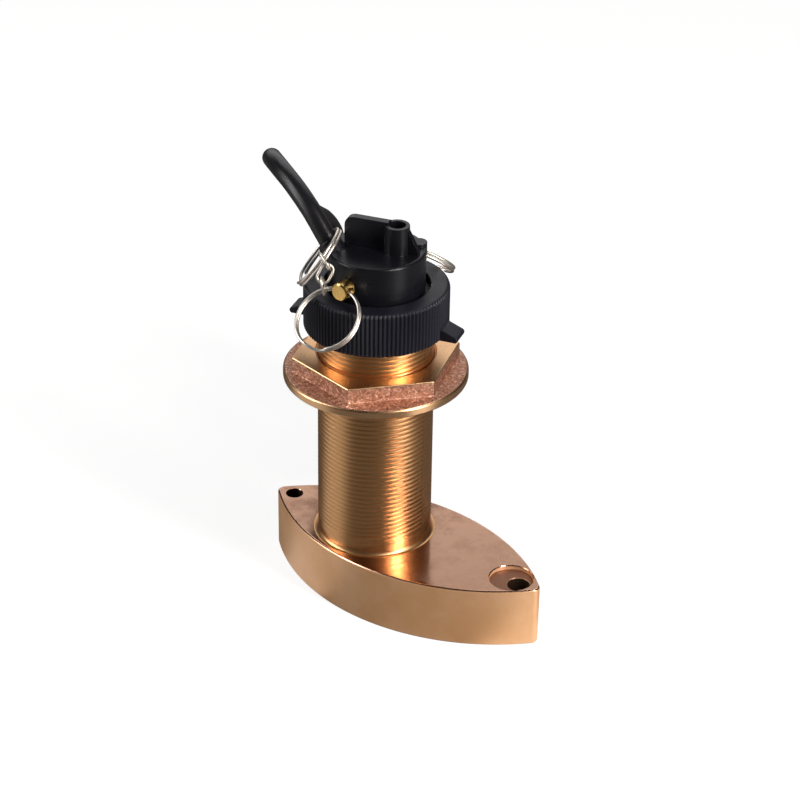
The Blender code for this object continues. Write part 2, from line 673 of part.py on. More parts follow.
def make_depth_element():
    """Window, ceramic disc and backing, one above the other in the pocket of the insert's face."""
    floor = INSERT_FACE_LIFT
    stack = (
        ("acoustic_window", WINDOW_THICKNESS, rubber()),
        ("depth_element", ELEMENT_THICKNESS, ceramic()),
        ("element_backing", BACKING_THICKNESS, wheel_plastic()),
    )
    for name, thickness, look in stack:
        form = turned(rod_profile(ELEMENT_RADIUS, floor, floor + thickness), SMALL_SEGMENTS)
        made = show(name, mesh_of(name, form), look, STEM_AXIS)
        made.location = (ELEMENT_OFFSET, 0.0, 0.0)
        floor += thickness + SEAT_GAP


def make_probe():
    """Brass stud that takes the water's temperature."""
    top = INSERT_FACE_LIFT + PROBE_LENGTH
    form = turned(rod_profile(PROBE_RADIUS, INSERT_FACE_LIFT, top), TINY_SEGMENTS)
    probe = show("temperature_probe", mesh_of("temperature_probe", form), brass(), STEM_AXIS)
    probe.location = (*PROBE_OFFSET, 0.0)


def make_electronics():
    """Speed sensor in its hole above the wheel, and the board that stands in the chamber."""
    form = turned(rod_profile(SPEED_SENSOR_RADIUS, speed_sensor_floor(), CHAMBER_FLOOR), TINY_SEGMENTS)
    sensor = show("speed_sensor", mesh_of("speed_sensor", form), wheel_plastic(), STEM_AXIS)
    sensor.location = (WHEEL_OFFSET, 0.0, 0.0)
    bottom = CHAMBER_FLOOR + SEAT_GAP
    half = BOARD_WIDTH / 2
    outline = [(-half, bottom), (half, bottom), (half, bottom + BOARD_HEIGHT), (-half, bottom + BOARD_HEIGHT)]
    show("circuit_board", mesh_of("circuit_board", plate(outline, BOARD_THICKNESS)), board_green(), STEM_AXIS)


def cord_point(point):
    """World place of a point given across, away and up in the coil's turned frame."""
    across, away, up = point
    turned_place = Matrix.Rotation(CORD_TURN, 3, 'Z') @ Vector((across, away, up))
    return turned_place - Vector((STEM_OFFSET, 0.0, 0.0))


def exit_direction():
    """Unit vector along which the cable leaves its socket."""
    return (cord_point(CABLE_ROUTE[2]) - cord_point(CABLE_ROUTE[0])).normalized()


def make_insert_head():
    """Moulded head: round neck with its spigot, fin, hollow hub, gusset and lug, and the socket's cradle."""
    edge = NECK_EDGE_RADIUS
    spigot = CHAMBER_RADIUS - SEAT_GAP
    profile = [(0.0, NECK_SEAT - SPIGOT_DEPTH), (spigot, NECK_SEAT - SPIGOT_DEPTH), (spigot, NECK_SEAT)]
    profile += [(NECK_RADIUS, NECK_SEAT)]
    profile += arc((NECK_RADIUS - edge, NECK_TOP - edge), edge, 0.0, math.pi / 2, 3)
    profile += [(0.0, NECK_TOP)]
    form = mesh_of("insert_head", turned(profile, HEAD_SEGMENTS))
    head = show("insert_head", form, black_plastic(), STEM_AXIS)
    head.rotation_euler = (0, 0, HEAD_TURN)

    root = NECK_TOP - JOIN_DEPTH
    fin_top = NECK_TOP + FIN_HEIGHT
    corner = FIN_CORNER_RADIUS
    fin = [(HUB_OFFSET, root), (HUB_OFFSET, fin_top)]
    fin += arc((-FIN_END + corner, fin_top - corner), corner, math.pi / 2, math.pi, 5) + [(-FIN_END, root)]
    combine(head, guide("fin_form", plate(fin, FIN_THICKNESS), head), 'UNION')

    hub = turned(rod_profile(HUB_RADIUS, root, NECK_TOP + HUB_HEIGHT), SMALL_SEGMENTS)
    combine(head, guide("hub_form", hub, head, (HUB_OFFSET, 0.0, 0.0)), 'UNION')

    gusset = [(HUB_OFFSET, root), (GUSSET_REACH, root), (GUSSET_REACH, NECK_TOP + GUSSET_END_HEIGHT)]
    gusset += [(HUB_OFFSET + HUB_RADIUS, NECK_TOP + GUSSET_TOP), (HUB_OFFSET, NECK_TOP + GUSSET_TOP)]
    combine(head, guide("gusset_form", plate(gusset, GUSSET_THICKNESS), head), 'UNION')

    lug = turned(rod_profile(LUG_RADIUS, NECK_TOP - LUG_DEPTH, NECK_TOP + LUG_HEIGHT), SMALL_SEGMENTS)
    lug_place = (LUG_FROM_AXIS * math.cos(LUG_TURN), LUG_FROM_AXIS * math.sin(LUG_TURN), 0.0)
    combine(head, guide("lug_form", lug, head, lug_place), 'UNION')

    crown = NECK_TOP + HUB_HEIGHT
    hole = rod_profile(HUB_HOLLOW_RADIUS, crown - HUB_HOLLOW_DEPTH, crown + CUT_PAST)
    hollow = turned(hole, SMALL_SEGMENTS)
    combine(head, guide("hub_hollow", hollow, head, (HUB_OFFSET, 0.0, 0.0)), 'DIFFERENCE')

    for name, turn in (("front_pin_hole", -math.pi / 2), ("rear_pin_hole", math.pi / 2)):
        hole = rod_profile(PIN_SHANK_RADIUS + SEAT_GAP, PIN_SHANK_END - SEAT_GAP, NECK_RADIUS + CUT_PAST)
        form = turned(hole, SMALL_SEGMENTS)
        rotation = Matrix.Rotation(turn, 4, 'Z') @ Matrix.Rotation(math.pi / 2, 4, 'Y')
        combine(head, guide(name, form, STEM_AXIS, (0, 0, PIN_HEIGHT), rotation.to_euler()), 'DIFFERENCE')

    cradle_form = rod_profile(SOCKET_RADIUS + SEAT_GAP, -SOCKET_LENGTH - SEAT_GAP, CUT_PAST)
    cradle = turned(cradle_form, SMALL_SEGMENTS)
    aim = exit_direction().to_track_quat('Z', 'Y').to_euler()
    combine(head, guide("socket_cradle", cradle, None, cord_point(CABLE_ROUTE[0]), aim), 'DIFFERENCE')


def make_cable_socket():
    """Moulded boot in the head's cradle, that the cable leaves from."""
    edge = SOCKET_RADIUS - CABLE_RADIUS - SEAT_GAP
    profile = [(0.0, -SOCKET_LENGTH), (SOCKET_RADIUS, -SOCKET_LENGTH)]
    profile += arc((SOCKET_RADIUS - edge, -edge), edge, 0.0, math.pi / 2, 3) + [(0.0, 0.0)]
    socket = show("cable_socket", mesh_of("cable_socket", turned(profile, SMALL_SEGMENTS)), black_plastic())
    socket.location = cord_point(CABLE_ROUTE[0])
    socket.rotation_euler = exit_direction().to_track_quat('Z', 'Y').to_euler()


def make_pin(name, turn):
    """Brass pin through the neck, with a chamfered eye across its head."""
    head_start = PIN_HEAD_START
    head_end = head_start + PIN_HEAD_LENGTH
    edge = PIN_HEAD_CHAMFER
    profile = [(0.0, PIN_SHANK_END), (PIN_SHANK_RADIUS, PIN_SHANK_END), (PIN_SHANK_RADIUS, head_start)]
    profile += [(PIN_HEAD_RADIUS, head_start), (PIN_HEAD_RADIUS, head_end - edge)]
    profile += [(PIN_HEAD_RADIUS - edge, head_end), (0.0, head_end)]
    pin = show(name, mesh_of(name, turned(profile, SMALL_SEGMENTS)), brass(), STEM_AXIS)
    pin.location = (0, 0, PIN_HEIGHT)
    pin.rotation_euler = (Matrix.Rotation(turn, 4, 'Z') @ Matrix.Rotation(math.pi / 2, 4, 'Y')).to_euler()
    reach = PIN_HEAD_RADIUS
    flare = PIN_EYE_RADIUS + PIN_EYE_CHAMFER
    eye = [(0.0, -reach), (flare, -reach), (PIN_EYE_RADIUS, -reach + PIN_EYE_CHAMFER)]
    eye += [(PIN_EYE_RADIUS, reach - PIN_EYE_CHAMFER), (flare, reach), (0.0, reach)]
    place = (0, 0, PIN_EYE_DISTANCE)
    tool = guide(f"{name}_eye", turned(eye, TINY_SEGMENTS), pin, place, (math.pi / 2, 0, 0))
    combine(pin, tool, 'DIFFERENCE')


def ring_turns(points_per_turn=24):
    """Centreline of a split ring in its own plane XZ, its angle counted from +Z: nearly two turns.

    The first turn lies on one side, steps over in a short stretch before the full circle, and the
    second turn lies beside it and ends just short of the step."""
    full = 4 * math.pi - RING_STEP - RING_END_GAP
    count = int(points_per_turn * full / (2 * math.pi))
    points = []
    for index in range(count + 1):
        angle = full * index / count
        passed = min(max((angle - (2 * math.pi - RING_STEP)) / RING_STEP, 0.0), 1.0)
        side = RING_TURN_PITCH * (passed - 0.5)
        place = angle + RING_STEP_PLACE
        points.append((RING_RADIUS * math.sin(place), -side, RING_RADIUS * math.cos(place)))
    return points


def wire(name, points, radius, look, closed=False, resolution=1):
    """A round wire or tube along points, as a curve with a bevel and filled ends."""
    curve = bpy.data.curves.new(name, 'CURVE')
    curve.dimensions = '3D'
    curve.bevel_depth = radius
    curve.bevel_resolution = resolution
    curve.use_fill_caps = True
    spline = curve.splines.new('POLY')
    spline.points.add(len(points) - 1)
    for place, point in zip(spline.points, points):
        place.co = (*point, 1.0)
    spline.use_cyclic_u = closed
    spline.use_smooth = True
    return show(name, curve, look)


def make_pin_ring(name, side):
    """Split ring through a pin's eye, leaning out over the cap nut; side is -1 in front and 1 behind."""
    drop = RING_RADIUS - RING_EYE_OFFSET
    points = [(x, y, z - drop) for x, y, z in ring_turns()]
    ring = wire(name, points, RING_WIRE_RADIUS, steel())
    ring.parent = STEM_AXIS
    ring.location = (0.0, side * PIN_EYE_DISTANCE, PIN_HEIGHT)
    turn = 0.0 if side < 0 else math.pi
    ring.rotation_euler = (Matrix.Rotation(turn, 4, 'Z') @ Matrix.Rotation(-RING_LEAN, 4, 'X')).to_euler()


def above_neck_seat(place):
    """A place given from the stem's axis and the seat of the neck, with its height from the floor."""
    return Vector(place) + Vector((0.0, 0.0, NECK_SEAT))


def side_ring_matrix():
    """Frame of the side ring from the stem's axis: its plane's normal is Y, and Z runs up its slope."""
    level = math.cos(SIDE_RING_ELEVATION)
    normal = Vector((level * math.cos(SIDE_RING_AZIMUTH), level * math.sin(SIDE_RING_AZIMUTH),
                     math.sin(SIDE_RING_ELEVATION)))
    up = (Vector((0, 0, 1)) - normal * normal.z).normalized()
    across = normal.cross(up)
    frame = Matrix((across, normal, up)).transposed().to_4x4()
    return Matrix.Translation(above_neck_seat(SIDE_RING_CENTRE)) @ frame


def front_ring_matrix():
    """Frame of the front ring from the stem's axis, its origin at the ring's middle."""
    eye = Matrix.Translation((0.0, -PIN_EYE_DISTANCE, PIN_HEIGHT)) @ Matrix.Rotation(-RING_LEAN, 4, 'X')
    return eye @ Matrix.Translation((0.0, 0.0, -(RING_RADIUS - RING_EYE_OFFSET)))


def make_side_ring():
    """Split ring that hangs round the cable above its socket and rests on the cap nut."""
    ring = wire("side_ring", ring_turns(), RING_WIRE_RADIUS, steel())
    ring.parent = STEM_AXIS
    ring.location = side_ring_matrix().translation
    ring.rotation_euler = side_ring_matrix().to_euler()


def ring_place(frame, angle):
    """Point on a ring's middle line, its angle counted from the ring's own +Z."""
    return frame @ Vector((RING_RADIUS * math.sin(angle), 0.0, RING_RADIUS * math.cos(angle)))


def link_outline():
    """Middle line of one oval link in the XZ plane, its long way along Z."""
    straight = LINK_HALF_LENGTH - LINK_HALF_WIDTH
    upper = arc((0.0, straight), LINK_HALF_WIDTH, 0.0, math.pi, 6)
    lower = arc((0.0, -straight), LINK_HALF_WIDTH, math.pi, 2 * math.pi, 6)
    return [(x, 0.0, z) for x, z in upper + lower]


def make_link(name, centre, axis, roll):
    """One closed link, its long way along axis and its flat turned about it by roll."""
    level = axis.cross(Vector((0, 1, 0))).normalized()
    wide = level * math.cos(roll) + axis.cross(level) * math.sin(roll)
    link = wire(name, link_outline(), LINK_WIRE_RADIUS, steel(), closed=True)
    link.parent = STEM_AXIS
    link.location = centre
    link.rotation_euler = Matrix((wide, axis.cross(wide), axis)).transposed().to_euler()


def make_chain():
    """Three oval links: one on the side ring, one between, one on the front ring, each through the next."""
    side_hold = ring_place(side_ring_matrix(), CHAIN_SIDE_ANGLE)
    front_hold = ring_place(front_ring_matrix(), CHAIN_FRONT_ANGLE)
    upper_joint, lower_joint = (above_neck_seat(joint) for joint in CHAIN_JOINTS)
    reach = LINK_HALF_LENGTH - LINK_WIRE_RADIUS - SEAT_GAP / 2
    first_axis = (upper_joint - side_hold).normalized()
    middle_axis = (lower_joint - upper_joint).normalized()
    last_axis = (front_hold - lower_joint).normalized()
    make_link("chain_link_1", upper_joint - first_axis * reach, first_axis, CHAIN_ROLLS[0])
    make_link("chain_link_2", (upper_joint + lower_joint) / 2, middle_axis, CHAIN_ROLLS[1])
    make_link("chain_link_3", lower_joint + last_axis * reach, last_axis, CHAIN_ROLLS[2])


def smooth_route(points, spacing):
    """Points at even spacing along a smooth curve through the given ones (Catmull-Rom)."""
    padded = [points[0] * 2 - points[1]] + points + [points[-1] * 2 - points[-2]]
    fine = []
    for before, first, second, after in zip(padded, padded[1:], padded[2:], padded[3:]):
        for step in range(20):
            t = step / 20
            fine.append(0.5 * (2 * first + (second - before) * t
                               + (2 * before - 5 * first + 4 * second - after) * t ** 2
                               + (3 * first - before - 3 * second + after) * t ** 3))
    fine.append(points[-1])
    lengths = [0.0]
    for first, second in zip(fine, fine[1:]):
        lengths.append(lengths[-1] + (second - first).length)
    count = round(lengths[-1] / spacing)
    picked = []
    for index in range(count + 1):
        wanted = lengths[-1] * index / count
        place = min(range(len(fine)), key=lambda k: abs(lengths[k] - wanted))
        picked.append(fine[place])
    return picked


def make_cable():
    """The visible stretch of the lead, from its socket to the coil."""
    route = [cord_point(point) for point in CABLE_ROUTE]
    route[0] = route[0] + exit_direction() * SEAT_GAP
    wire("cable", smooth_route(route, CABLE_POINT_SPACING), CABLE_RADIUS, black_plastic(), resolution=4)


def coil_frame():
    """Place and turn of the coil: local X down, local Y away from the blade, local Z across."""
    return cord_point((0.0, COIL_DISTANCE, COIL_HEIGHT)), Euler((0.0, math.pi / 2, CORD_TURN))


def column_place(column):
    """How far a column of turns lies across from the coil's middle."""
    return (column - (COIL_COLUMNS - 1) / 2) * COIL_PITCH


def make_cable_coil():
    """The outer shape of the stored turns, with the stubs of cord that run into it and out of it."""
    place, turn = coil_frame()
    outer, inner, half, edge = COIL_OUTER_RADIUS, COIL_INNER_RADIUS, COIL_HALF_WIDTH, COIL_EDGE_RADIUS
    profile = [(inner, -half), (outer - edge, -half), (outer, -half + edge), (outer, half - edge)]
    profile += [(outer - edge, half), (inner, half)]
    coil = show("cable_coil", mesh_of("cable_coil", turned(profile, STEM_SEGMENTS)), black_plastic())
    coil.location = place
    coil.rotation_euler = turn

    stub = rod_profile(CABLE_RADIUS - STUB_INSET, 0.0, COIL_STUB_LENGTH)
    entry_place = (0.0, COIL_OUTER_TURN_RADIUS, column_place(0))
    entry = guide("entry_stub", turned(stub, TINY_SEGMENTS), coil, entry_place, (0.0, -math.pi / 2, 0.0))
    exit_place = (COIL_OUTER_TURN_RADIUS, 0.0, column_place(COIL_EXIT_COLUMN))
    leaving = guide("exit_stub", turned(stub, TINY_SEGMENTS), coil, exit_place, (math.pi / 2, 0.0, 0.0))
    combine(coil, entry, 'UNION')
    combine(coil, leaving, 'UNION')


def make_coil_tie():
    """Band round the bundle of turns at one place."""
    place, turn = coil_frame()
    gap = SEAT_GAP
    low, high = COIL_INNER_RADIUS - gap, COIL_OUTER_RADIUS + gap
    half = COIL_HALF_WIDTH + gap
    thick = TIE_THICKNESS
    form = bmesh.new()
    rows = []
    for y in (-TIE_WIDTH / 2, TIE_WIDTH / 2):
        inner = [(low, y, -half), (high, y, -half), (high, y, half), (low, y, half)]
        outer = [(low - thick, y, -half - thick), (high + thick, y, -half - thick),
                 (high + thick, y, half + thick), (low - thick, y, half + thick)]
        rows.append([[form.verts.new(point) for point in loop] for loop in (inner, outer)])
    (near_in, near_out), (far_in, far_out) = rows
    for k in range(4):
        n = (k + 1) % 4
        form.faces.new((near_in[k], near_in[n], near_out[n], near_out[k]))
        form.faces.new((far_in[k], far_out[k], far_out[n], far_in[n]))
        form.faces.new((near_in[k], far_in[k], far_in[n], near_in[n]))
        form.faces.new((near_out[k], near_out[n], far_out[n], far_out[k]))
    tie = show("coil_tie", mesh_of("coil_tie", form), black_plastic())
    tie.location = place
    spin = Matrix.Rotation(math.pi / 2 + TIE_PLACE, 4, 'Z')
    tie.rotation_euler = (turn.to_matrix().to_4x4() @ spin).to_euler()


def make_connector():
    """Round plug on the cord's end, lying on the floor: tapered grip, nose, ribbed collar and contacts."""
    start = cord_point((column_place(COIL_EXIT_COLUMN), COIL_DISTANCE - COIL_STUB_LENGTH - 2 * SEAT_GAP,
                        COIL_LIFT + CABLE_RADIUS))
    lie = Matrix.Rotation(CORD_TURN, 4, 'Z') @ Matrix.Rotation(math.pi / 2 - CONNECTOR_TILT, 4, 'X')
    grip = [(0.0, 0.0), (CABLE_RADIUS, 0.0), (CONNECTOR_GRIP_RADIUS, CONNECTOR_TAPER_LENGTH)]
    grip += [(CONNECTOR_GRIP_RADIUS, CONNECTOR_GRIP_LENGTH), (CONNECTOR_NOSE_RADIUS, CONNECTOR_GRIP_LENGTH)]
    grip += [(CONNECTOR_NOSE_RADIUS, CONNECTOR_GRIP_LENGTH + CONNECTOR_NOSE_LENGTH - CONTACT_REACH)]
    grip += [(0.0, CONNECTOR_GRIP_LENGTH + CONNECTOR_NOSE_LENGTH - CONTACT_REACH)]
    body = show("connector_body", mesh_of("connector_body", turned(grip, SMALL_SEGMENTS)), black_plastic())
    body.location = start
    body.rotation_euler = lie.to_euler()

    collar_start = CONNECTOR_GRIP_LENGTH + SEAT_GAP
    bore = CONNECTOR_NOSE_RADIUS + SEAT_GAP
    collar_end = collar_start + COLLAR_LENGTH
    ribs = []
    for index in range(2 * COLLAR_RIBS):
        angle = math.pi * index / COLLAR_RIBS
        radius = COLLAR_RADIUS - COLLAR_RIB_DEPTH * (index % 2)
        ribs.append((radius * math.cos(angle), radius * math.sin(angle)))
    rows = [[(x, y, height) for x, y in ribs] for height in (collar_start, collar_end)]
    collar = show("connector_collar", mesh_of("connector_collar", loft(rows)), black_plastic())
    collar.location = start
    collar.rotation_euler = lie.to_euler()
    hole_form = rod_profile(bore, collar_start - SHORT_CUT_PAST, collar_end + SHORT_CUT_PAST)
    hole = turned(hole_form, SMALL_SEGMENTS)
    combine(collar, guide("collar_hole", hole, collar), 'DIFFERENCE')

    face = CONNECTOR_GRIP_LENGTH + CONNECTOR_NOSE_LENGTH - CONTACT_REACH
    for index in range(CONTACT_COUNT):
        angle = 2 * math.pi * index / CONTACT_COUNT
        spot = (CONTACT_CIRCLE_RADIUS * math.cos(angle), CONTACT_CIRCLE_RADIUS * math.sin(angle), 0.0)
        name = f"contact_{index + 1}"
        contact = turned(rod_profile(CONTACT_RADIUS, face + SEAT_GAP, face + CONTACT_REACH), CONTACT_SEGMENTS)
        made = show(name, mesh_of(name, contact), brass(), body)
        made.location = spot


make_housing()
make_hull_nut()
make_cap_nut()
make_insert_body()
for o_ring_name, o_ring_height in zip(("o_ring_lower", "o_ring_middle", "o_ring_upper"), O_RING_HEIGHTS):
    make_o_ring(o_ring_name, o_ring_height)
make_paddlewheel()
make_axle()
make_depth_element()
make_probe()
make_electronics()
make_insert_head()
make_cable_socket()
make_pin("front_pin", -math.pi / 2)
make_pin("rear_pin", math.pi / 2)
make_pin_ring("front_ring", -1)
make_pin_ring("rear_ring", 1)
make_side_ring()
make_chain()
make_cable()
make_cable_coil()
make_coil_tie()
make_connector()
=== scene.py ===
"""Looks of the sonar transducer: bronze, black mouldings, wire rings and the lead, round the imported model."""

import json
import math

import bmesh
import bpy
import numpy as np
from mathutils import Matrix, Vector


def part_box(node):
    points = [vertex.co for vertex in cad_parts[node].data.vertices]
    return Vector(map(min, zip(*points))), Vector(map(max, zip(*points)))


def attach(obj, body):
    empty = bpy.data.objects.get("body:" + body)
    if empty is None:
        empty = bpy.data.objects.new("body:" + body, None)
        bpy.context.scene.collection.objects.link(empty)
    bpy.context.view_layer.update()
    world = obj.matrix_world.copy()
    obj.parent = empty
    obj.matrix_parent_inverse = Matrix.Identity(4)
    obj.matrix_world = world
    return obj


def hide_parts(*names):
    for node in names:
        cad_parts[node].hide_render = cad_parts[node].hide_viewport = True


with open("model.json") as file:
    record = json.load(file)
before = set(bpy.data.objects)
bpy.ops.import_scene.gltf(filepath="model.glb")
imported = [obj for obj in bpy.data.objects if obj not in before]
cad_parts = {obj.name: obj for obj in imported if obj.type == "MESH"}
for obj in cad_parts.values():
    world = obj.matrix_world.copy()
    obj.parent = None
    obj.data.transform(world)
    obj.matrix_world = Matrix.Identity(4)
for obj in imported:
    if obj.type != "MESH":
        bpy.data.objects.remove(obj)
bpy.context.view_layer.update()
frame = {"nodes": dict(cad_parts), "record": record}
body_of = {node: body for body, held in frame["record"]["behaviour"]["bodies"].items() for node in held}


# Studio
# A pale floor under soft light: a tall softbox to the camera's right, a broad weak one to its left, one high
# behind, and a bright wall behind the object for its level faces to reflect. Camera as in the photo.
STEM_X = (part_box("insert_body")[0][0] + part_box("insert_body")[1][0]) / 2
BLADE_TOP = next(m for m in frame["record"]["mounts"] if m["name"] == "blade_top")["pos_m"][2]
VIEW_TURN = math.radians(34.3)
VIEW_DOWN = math.radians(30.083)
VIEW_ROLL = math.radians(0.884)
VIEW_DISTANCE = 1.08543
FOCAL_PIXELS = 2471.6
PICTURE_PIXELS = 800
AIM_RIGHT = 0.01071
AIM_HEIGHT = BLADE_TOP + 0.06515
LAMP_AIM_HEIGHT = 3 * BLADE_TOP
ROOM_GLOW = 0.01
LEFT_GLOW = 0.05
WALL_GLOW = 1.2
FLOOR_REACH = 6.0
FLOOR_GLOW = 1.15
FLOOR_SEEN_SHARE = 0.75
LEFT_PATCH_SHARE = 0.45

RIGHT = Vector((math.cos(VIEW_TURN), math.sin(VIEW_TURN), 0.0))
AWAY = Vector((-math.sin(VIEW_TURN), math.cos(VIEW_TURN), 0.0))
UP = Vector((0.0, 0.0, 1.0))
STEM_FOOT = Vector((STEM_X, 0.0, 0.0))


def aimed(right, up, back, place):
    """Matrix whose columns are an object's own axes and its place."""
    return Matrix.Translation(place) @ Matrix((right, up, back)).transposed().to_4x4()


def make_camera():
    """Camera at the photograph's place: turned, looking down and rolled by the angles above."""
    forward = AWAY * math.cos(VIEW_DOWN) - UP * math.sin(VIEW_DOWN)
    level_up = AWAY * math.sin(VIEW_DOWN) + UP * math.cos(VIEW_DOWN)
    right = RIGHT * math.cos(VIEW_ROLL) + level_up * math.sin(VIEW_ROLL)
    up = level_up * math.cos(VIEW_ROLL) - RIGHT * math.sin(VIEW_ROLL)
    data = bpy.data.cameras.new("camera")
    data.sensor_width = 36.0
    data.lens = data.sensor_width * FOCAL_PIXELS / PICTURE_PIXELS
    data.clip_start, data.clip_end = 0.01, 50.0
    camera = bpy.data.objects.new("camera", data)
    target = STEM_FOOT + RIGHT * AIM_RIGHT + UP * AIM_HEIGHT
    camera.matrix_world = aimed(right, up, -forward, target - forward * VIEW_DISTANCE)
    bpy.context.scene.collection.objects.link(camera)
    bpy.context.scene.camera = camera


def make_softbox(name, azimuth, elevation, distance, width, height, power, tint=(1.0, 1.0, 1.0)):
    """Rectangular lamp aimed at the stem; azimuth counts from the camera's side towards its right."""
    a, e = math.radians(azimuth), math.radians(elevation)
    out = (RIGHT * math.sin(a) - AWAY * math.cos(a)) * math.cos(e) + UP * math.sin(e)
    data = bpy.data.lights.new(name, "AREA")
    data.shape = "RECTANGLE"
    data.size, data.size_y = width, height
    data.energy = power
    data.color = tint
    lamp = bpy.data.objects.new(name, data)
    place = Matrix.Translation(STEM_FOOT + UP * LAMP_AIM_HEIGHT + out * distance)
    lamp.matrix_world = place @ out.to_track_quat("Z", "Y").to_matrix().to_4x4()
    bpy.context.scene.collection.objects.link(lamp)


class Value:
    """One output of a node. Arithmetic on it adds Math nodes to its material."""

    def __init__(self, finish, socket):
        self.finish = finish
        self.socket = socket

    def math(self, operation, *others):
        """Math node on this value and others."""
        return self.finish.node("ShaderNodeMath", {"operation": operation}, (self, *others))

    def __add__(self, other):
        return self.math("ADD", other)

    __radd__ = __add__

    def __sub__(self, other):
        return self.math("SUBTRACT", other)

    def __rsub__(self, other):
        return self.finish.node("ShaderNodeMath", {"operation": "SUBTRACT"}, (other, self))

    def __mul__(self, other):
        return self.math("MULTIPLY", other)

    __rmul__ = __mul__

    def __pow__(self, exponent):
        return self.math("POWER", exponent)

    def step(self, low, high):
        """0 below low, 1 above high, and smooth between."""
        values = {"Value": self, "From Min": low, "From Max": high}
        return self.finish.node("ShaderNodeMapRange", {"interpolation_type": "SMOOTHSTEP"}, values)


class Finish:
    """A material's node tree round its shader."""

    def __init__(self, name, fixed=(), tree=None):
        if tree is None:
            self.material = bpy.data.materials.new(name)
            self.material.use_nodes = True
            tree = self.material.node_tree
        self.tree = tree
        self.shader = tree.nodes.get("Principled BSDF")
        for socket, value in dict(fixed).items():
            self.shader.inputs[socket].default_value = value

    def node(self, kind, settings=None, values=(), output=0):
        """Any node: its settings first, then the values or links of its sockets; gives one output."""
        made = self.tree.nodes.new(kind)
        for key, value in (settings or {}).items():
            setattr(made, key, value)
        for key, value in values.items() if isinstance(values, dict) else enumerate(values):
            if isinstance(value, Value):
                self.tree.links.new(value.socket, made.inputs[key])
            else:
                made.inputs[key].default_value = value
        return Value(self, made.outputs[output])

    def mix(self, mask, first, second):
        """Colour between first and second by a mask from 0 to 1."""
        return self.node("ShaderNodeMix", {"data_type": "RGBA"}, {0: mask, 6: first, 7: second}, 2)

    def place(self):
        """Place on the piece, in metres."""
        return self.node("ShaderNodeTexCoord", output="Object")

    def parts(self, vector):
        """The three numbers of a vector."""
        split = self.node("ShaderNodeSeparateXYZ", values=[vector])
        return [Value(self, socket) for socket in split.socket.node.outputs]

    def noise(self, scale, detail=3.0, roughness=0.55, stretch=(1.0, 1.0, 1.0)):
        """Noise from 0 to 1 over the piece; scale is in patches per metre, stretched along the axes."""
        spread = self.node("ShaderNodeMapping", values={"Vector": self.place(), "Scale": stretch})
        values = {"Vector": spread, "Scale": scale, "Detail": detail, "Roughness": roughness}
        return self.node("ShaderNodeTexNoise", values=values)

    def feed(self, socket, value):
        """Link a value to one of the shader's sockets."""
        self.tree.links.new(value.socket, self.shader.inputs[socket])

    def relief(self, height, distance):
        """Raise the surface by a height from 0 to 1 times a distance in metres."""
        self.feed("Normal", self.node("ShaderNodeBump", values={"Height": height, "Distance": distance}))


def make_world():
    """White for the camera; for the rest a dim studio with a bright wall behind the object. The wall fades
    out from 18 to 44 degrees to either side of straight behind, and from 38 to 67 degrees up."""
    world = bpy.data.worlds.new("studio")
    world.use_nodes = True
    bpy.context.scene.world = world
    finish = Finish("studio", tree=world.node_tree)
    background = world.node_tree.nodes["Background"]
    across, along, height = finish.parts(finish.node("ShaderNodeTexCoord", output="Generated"))
    behind = across * AWAY.x + along * AWAY.y
    sideways = across * RIGHT.x + along * RIGHT.y
    wall = behind.step(0.72, 0.95) * height.step(-0.1, 0.2)
    left = (0.0 - sideways).step(0.5, 0.95)
    glow = ROOM_GLOW + WALL_GLOW * wall * (1.0 - height.step(0.62, 0.92)) + LEFT_GLOW * left
    camera_ray = finish.node("ShaderNodeLightPath", output="Is Camera Ray")
    strength = camera_ray + (1.0 - camera_ray) * glow
    world.node_tree.links.new(strength.socket, background.inputs["Strength"])
    background.inputs["Color"].default_value = (1.0, 1.0, 1.0, 1.0)


def make_floor():
    """Wide pale floor that shows nearly white to the camera and keeps a soft shadow. Gloss on the object
    sees it white in a sector below the right softbox, about half as bright in one below the left softbox,
    and dim elsewhere. The sectors' limits are degrees round the stem, counted as the softboxes' are."""
    mesh = bpy.data.meshes.new("floor")
    corners = [(x * FLOOR_REACH, y * FLOOR_REACH, 0) for x, y in ((-1, -1), (1, -1), (1, 1), (-1, 1))]
    mesh.from_pydata(corners, [], [(0, 1, 2, 3)])
    floor = bpy.data.objects.new("floor", mesh)
    bpy.context.scene.collection.objects.link(floor)
    finish = Finish("pale_floor", {"Roughness": 0.9, "Specular IOR Level": 0.0})
    camera_ray = finish.node("ShaderNodeLightPath", output="Is Camera Ray")
    glossy_ray = finish.node("ShaderNodeLightPath", output="Is Glossy Ray")
    clear_ray = finish.node("ShaderNodeLightPath", output="Is Transmission Ray")
    across, along, _ = finish.parts(finish.place())
    rightward = (across - STEM_X) * RIGHT.x + along * RIGHT.y
    frontward = (across - STEM_X) * -AWAY.x + along * -AWAY.y
    azimuth = rightward.math("ARCTAN2", frontward) * (180 / math.pi)
    right_patch = azimuth.step(36, 48) * (1.0 - azimuth.step(60, 74))
    left_patch = azimuth.step(-118, -98) * (1.0 - azimuth.step(-66, -46))
    gloss = (glossy_ray + clear_ray) * (right_patch + LEFT_PATCH_SHARE * left_patch)
    finish.feed("Base Color", finish.mix(camera_ray, (0.15, 0.145, 0.14, 1.0), (0.85, 0.85, 0.85, 1.0)))
    white = finish.node("ShaderNodeEmission", values={"Color": (1.0, 1.0, 1.0, 1.0), "Strength": FLOOR_GLOW})
    plain = Value(finish, finish.shader.outputs[0])
    shown = finish.node("ShaderNodeMixShader", values=[camera_ray * FLOOR_SEEN_SHARE + gloss, plain, white])
    finish.tree.links.new(shown.socket, finish.tree.nodes["Material Output"].inputs["Surface"])
    mesh.materials.append(finish.material)


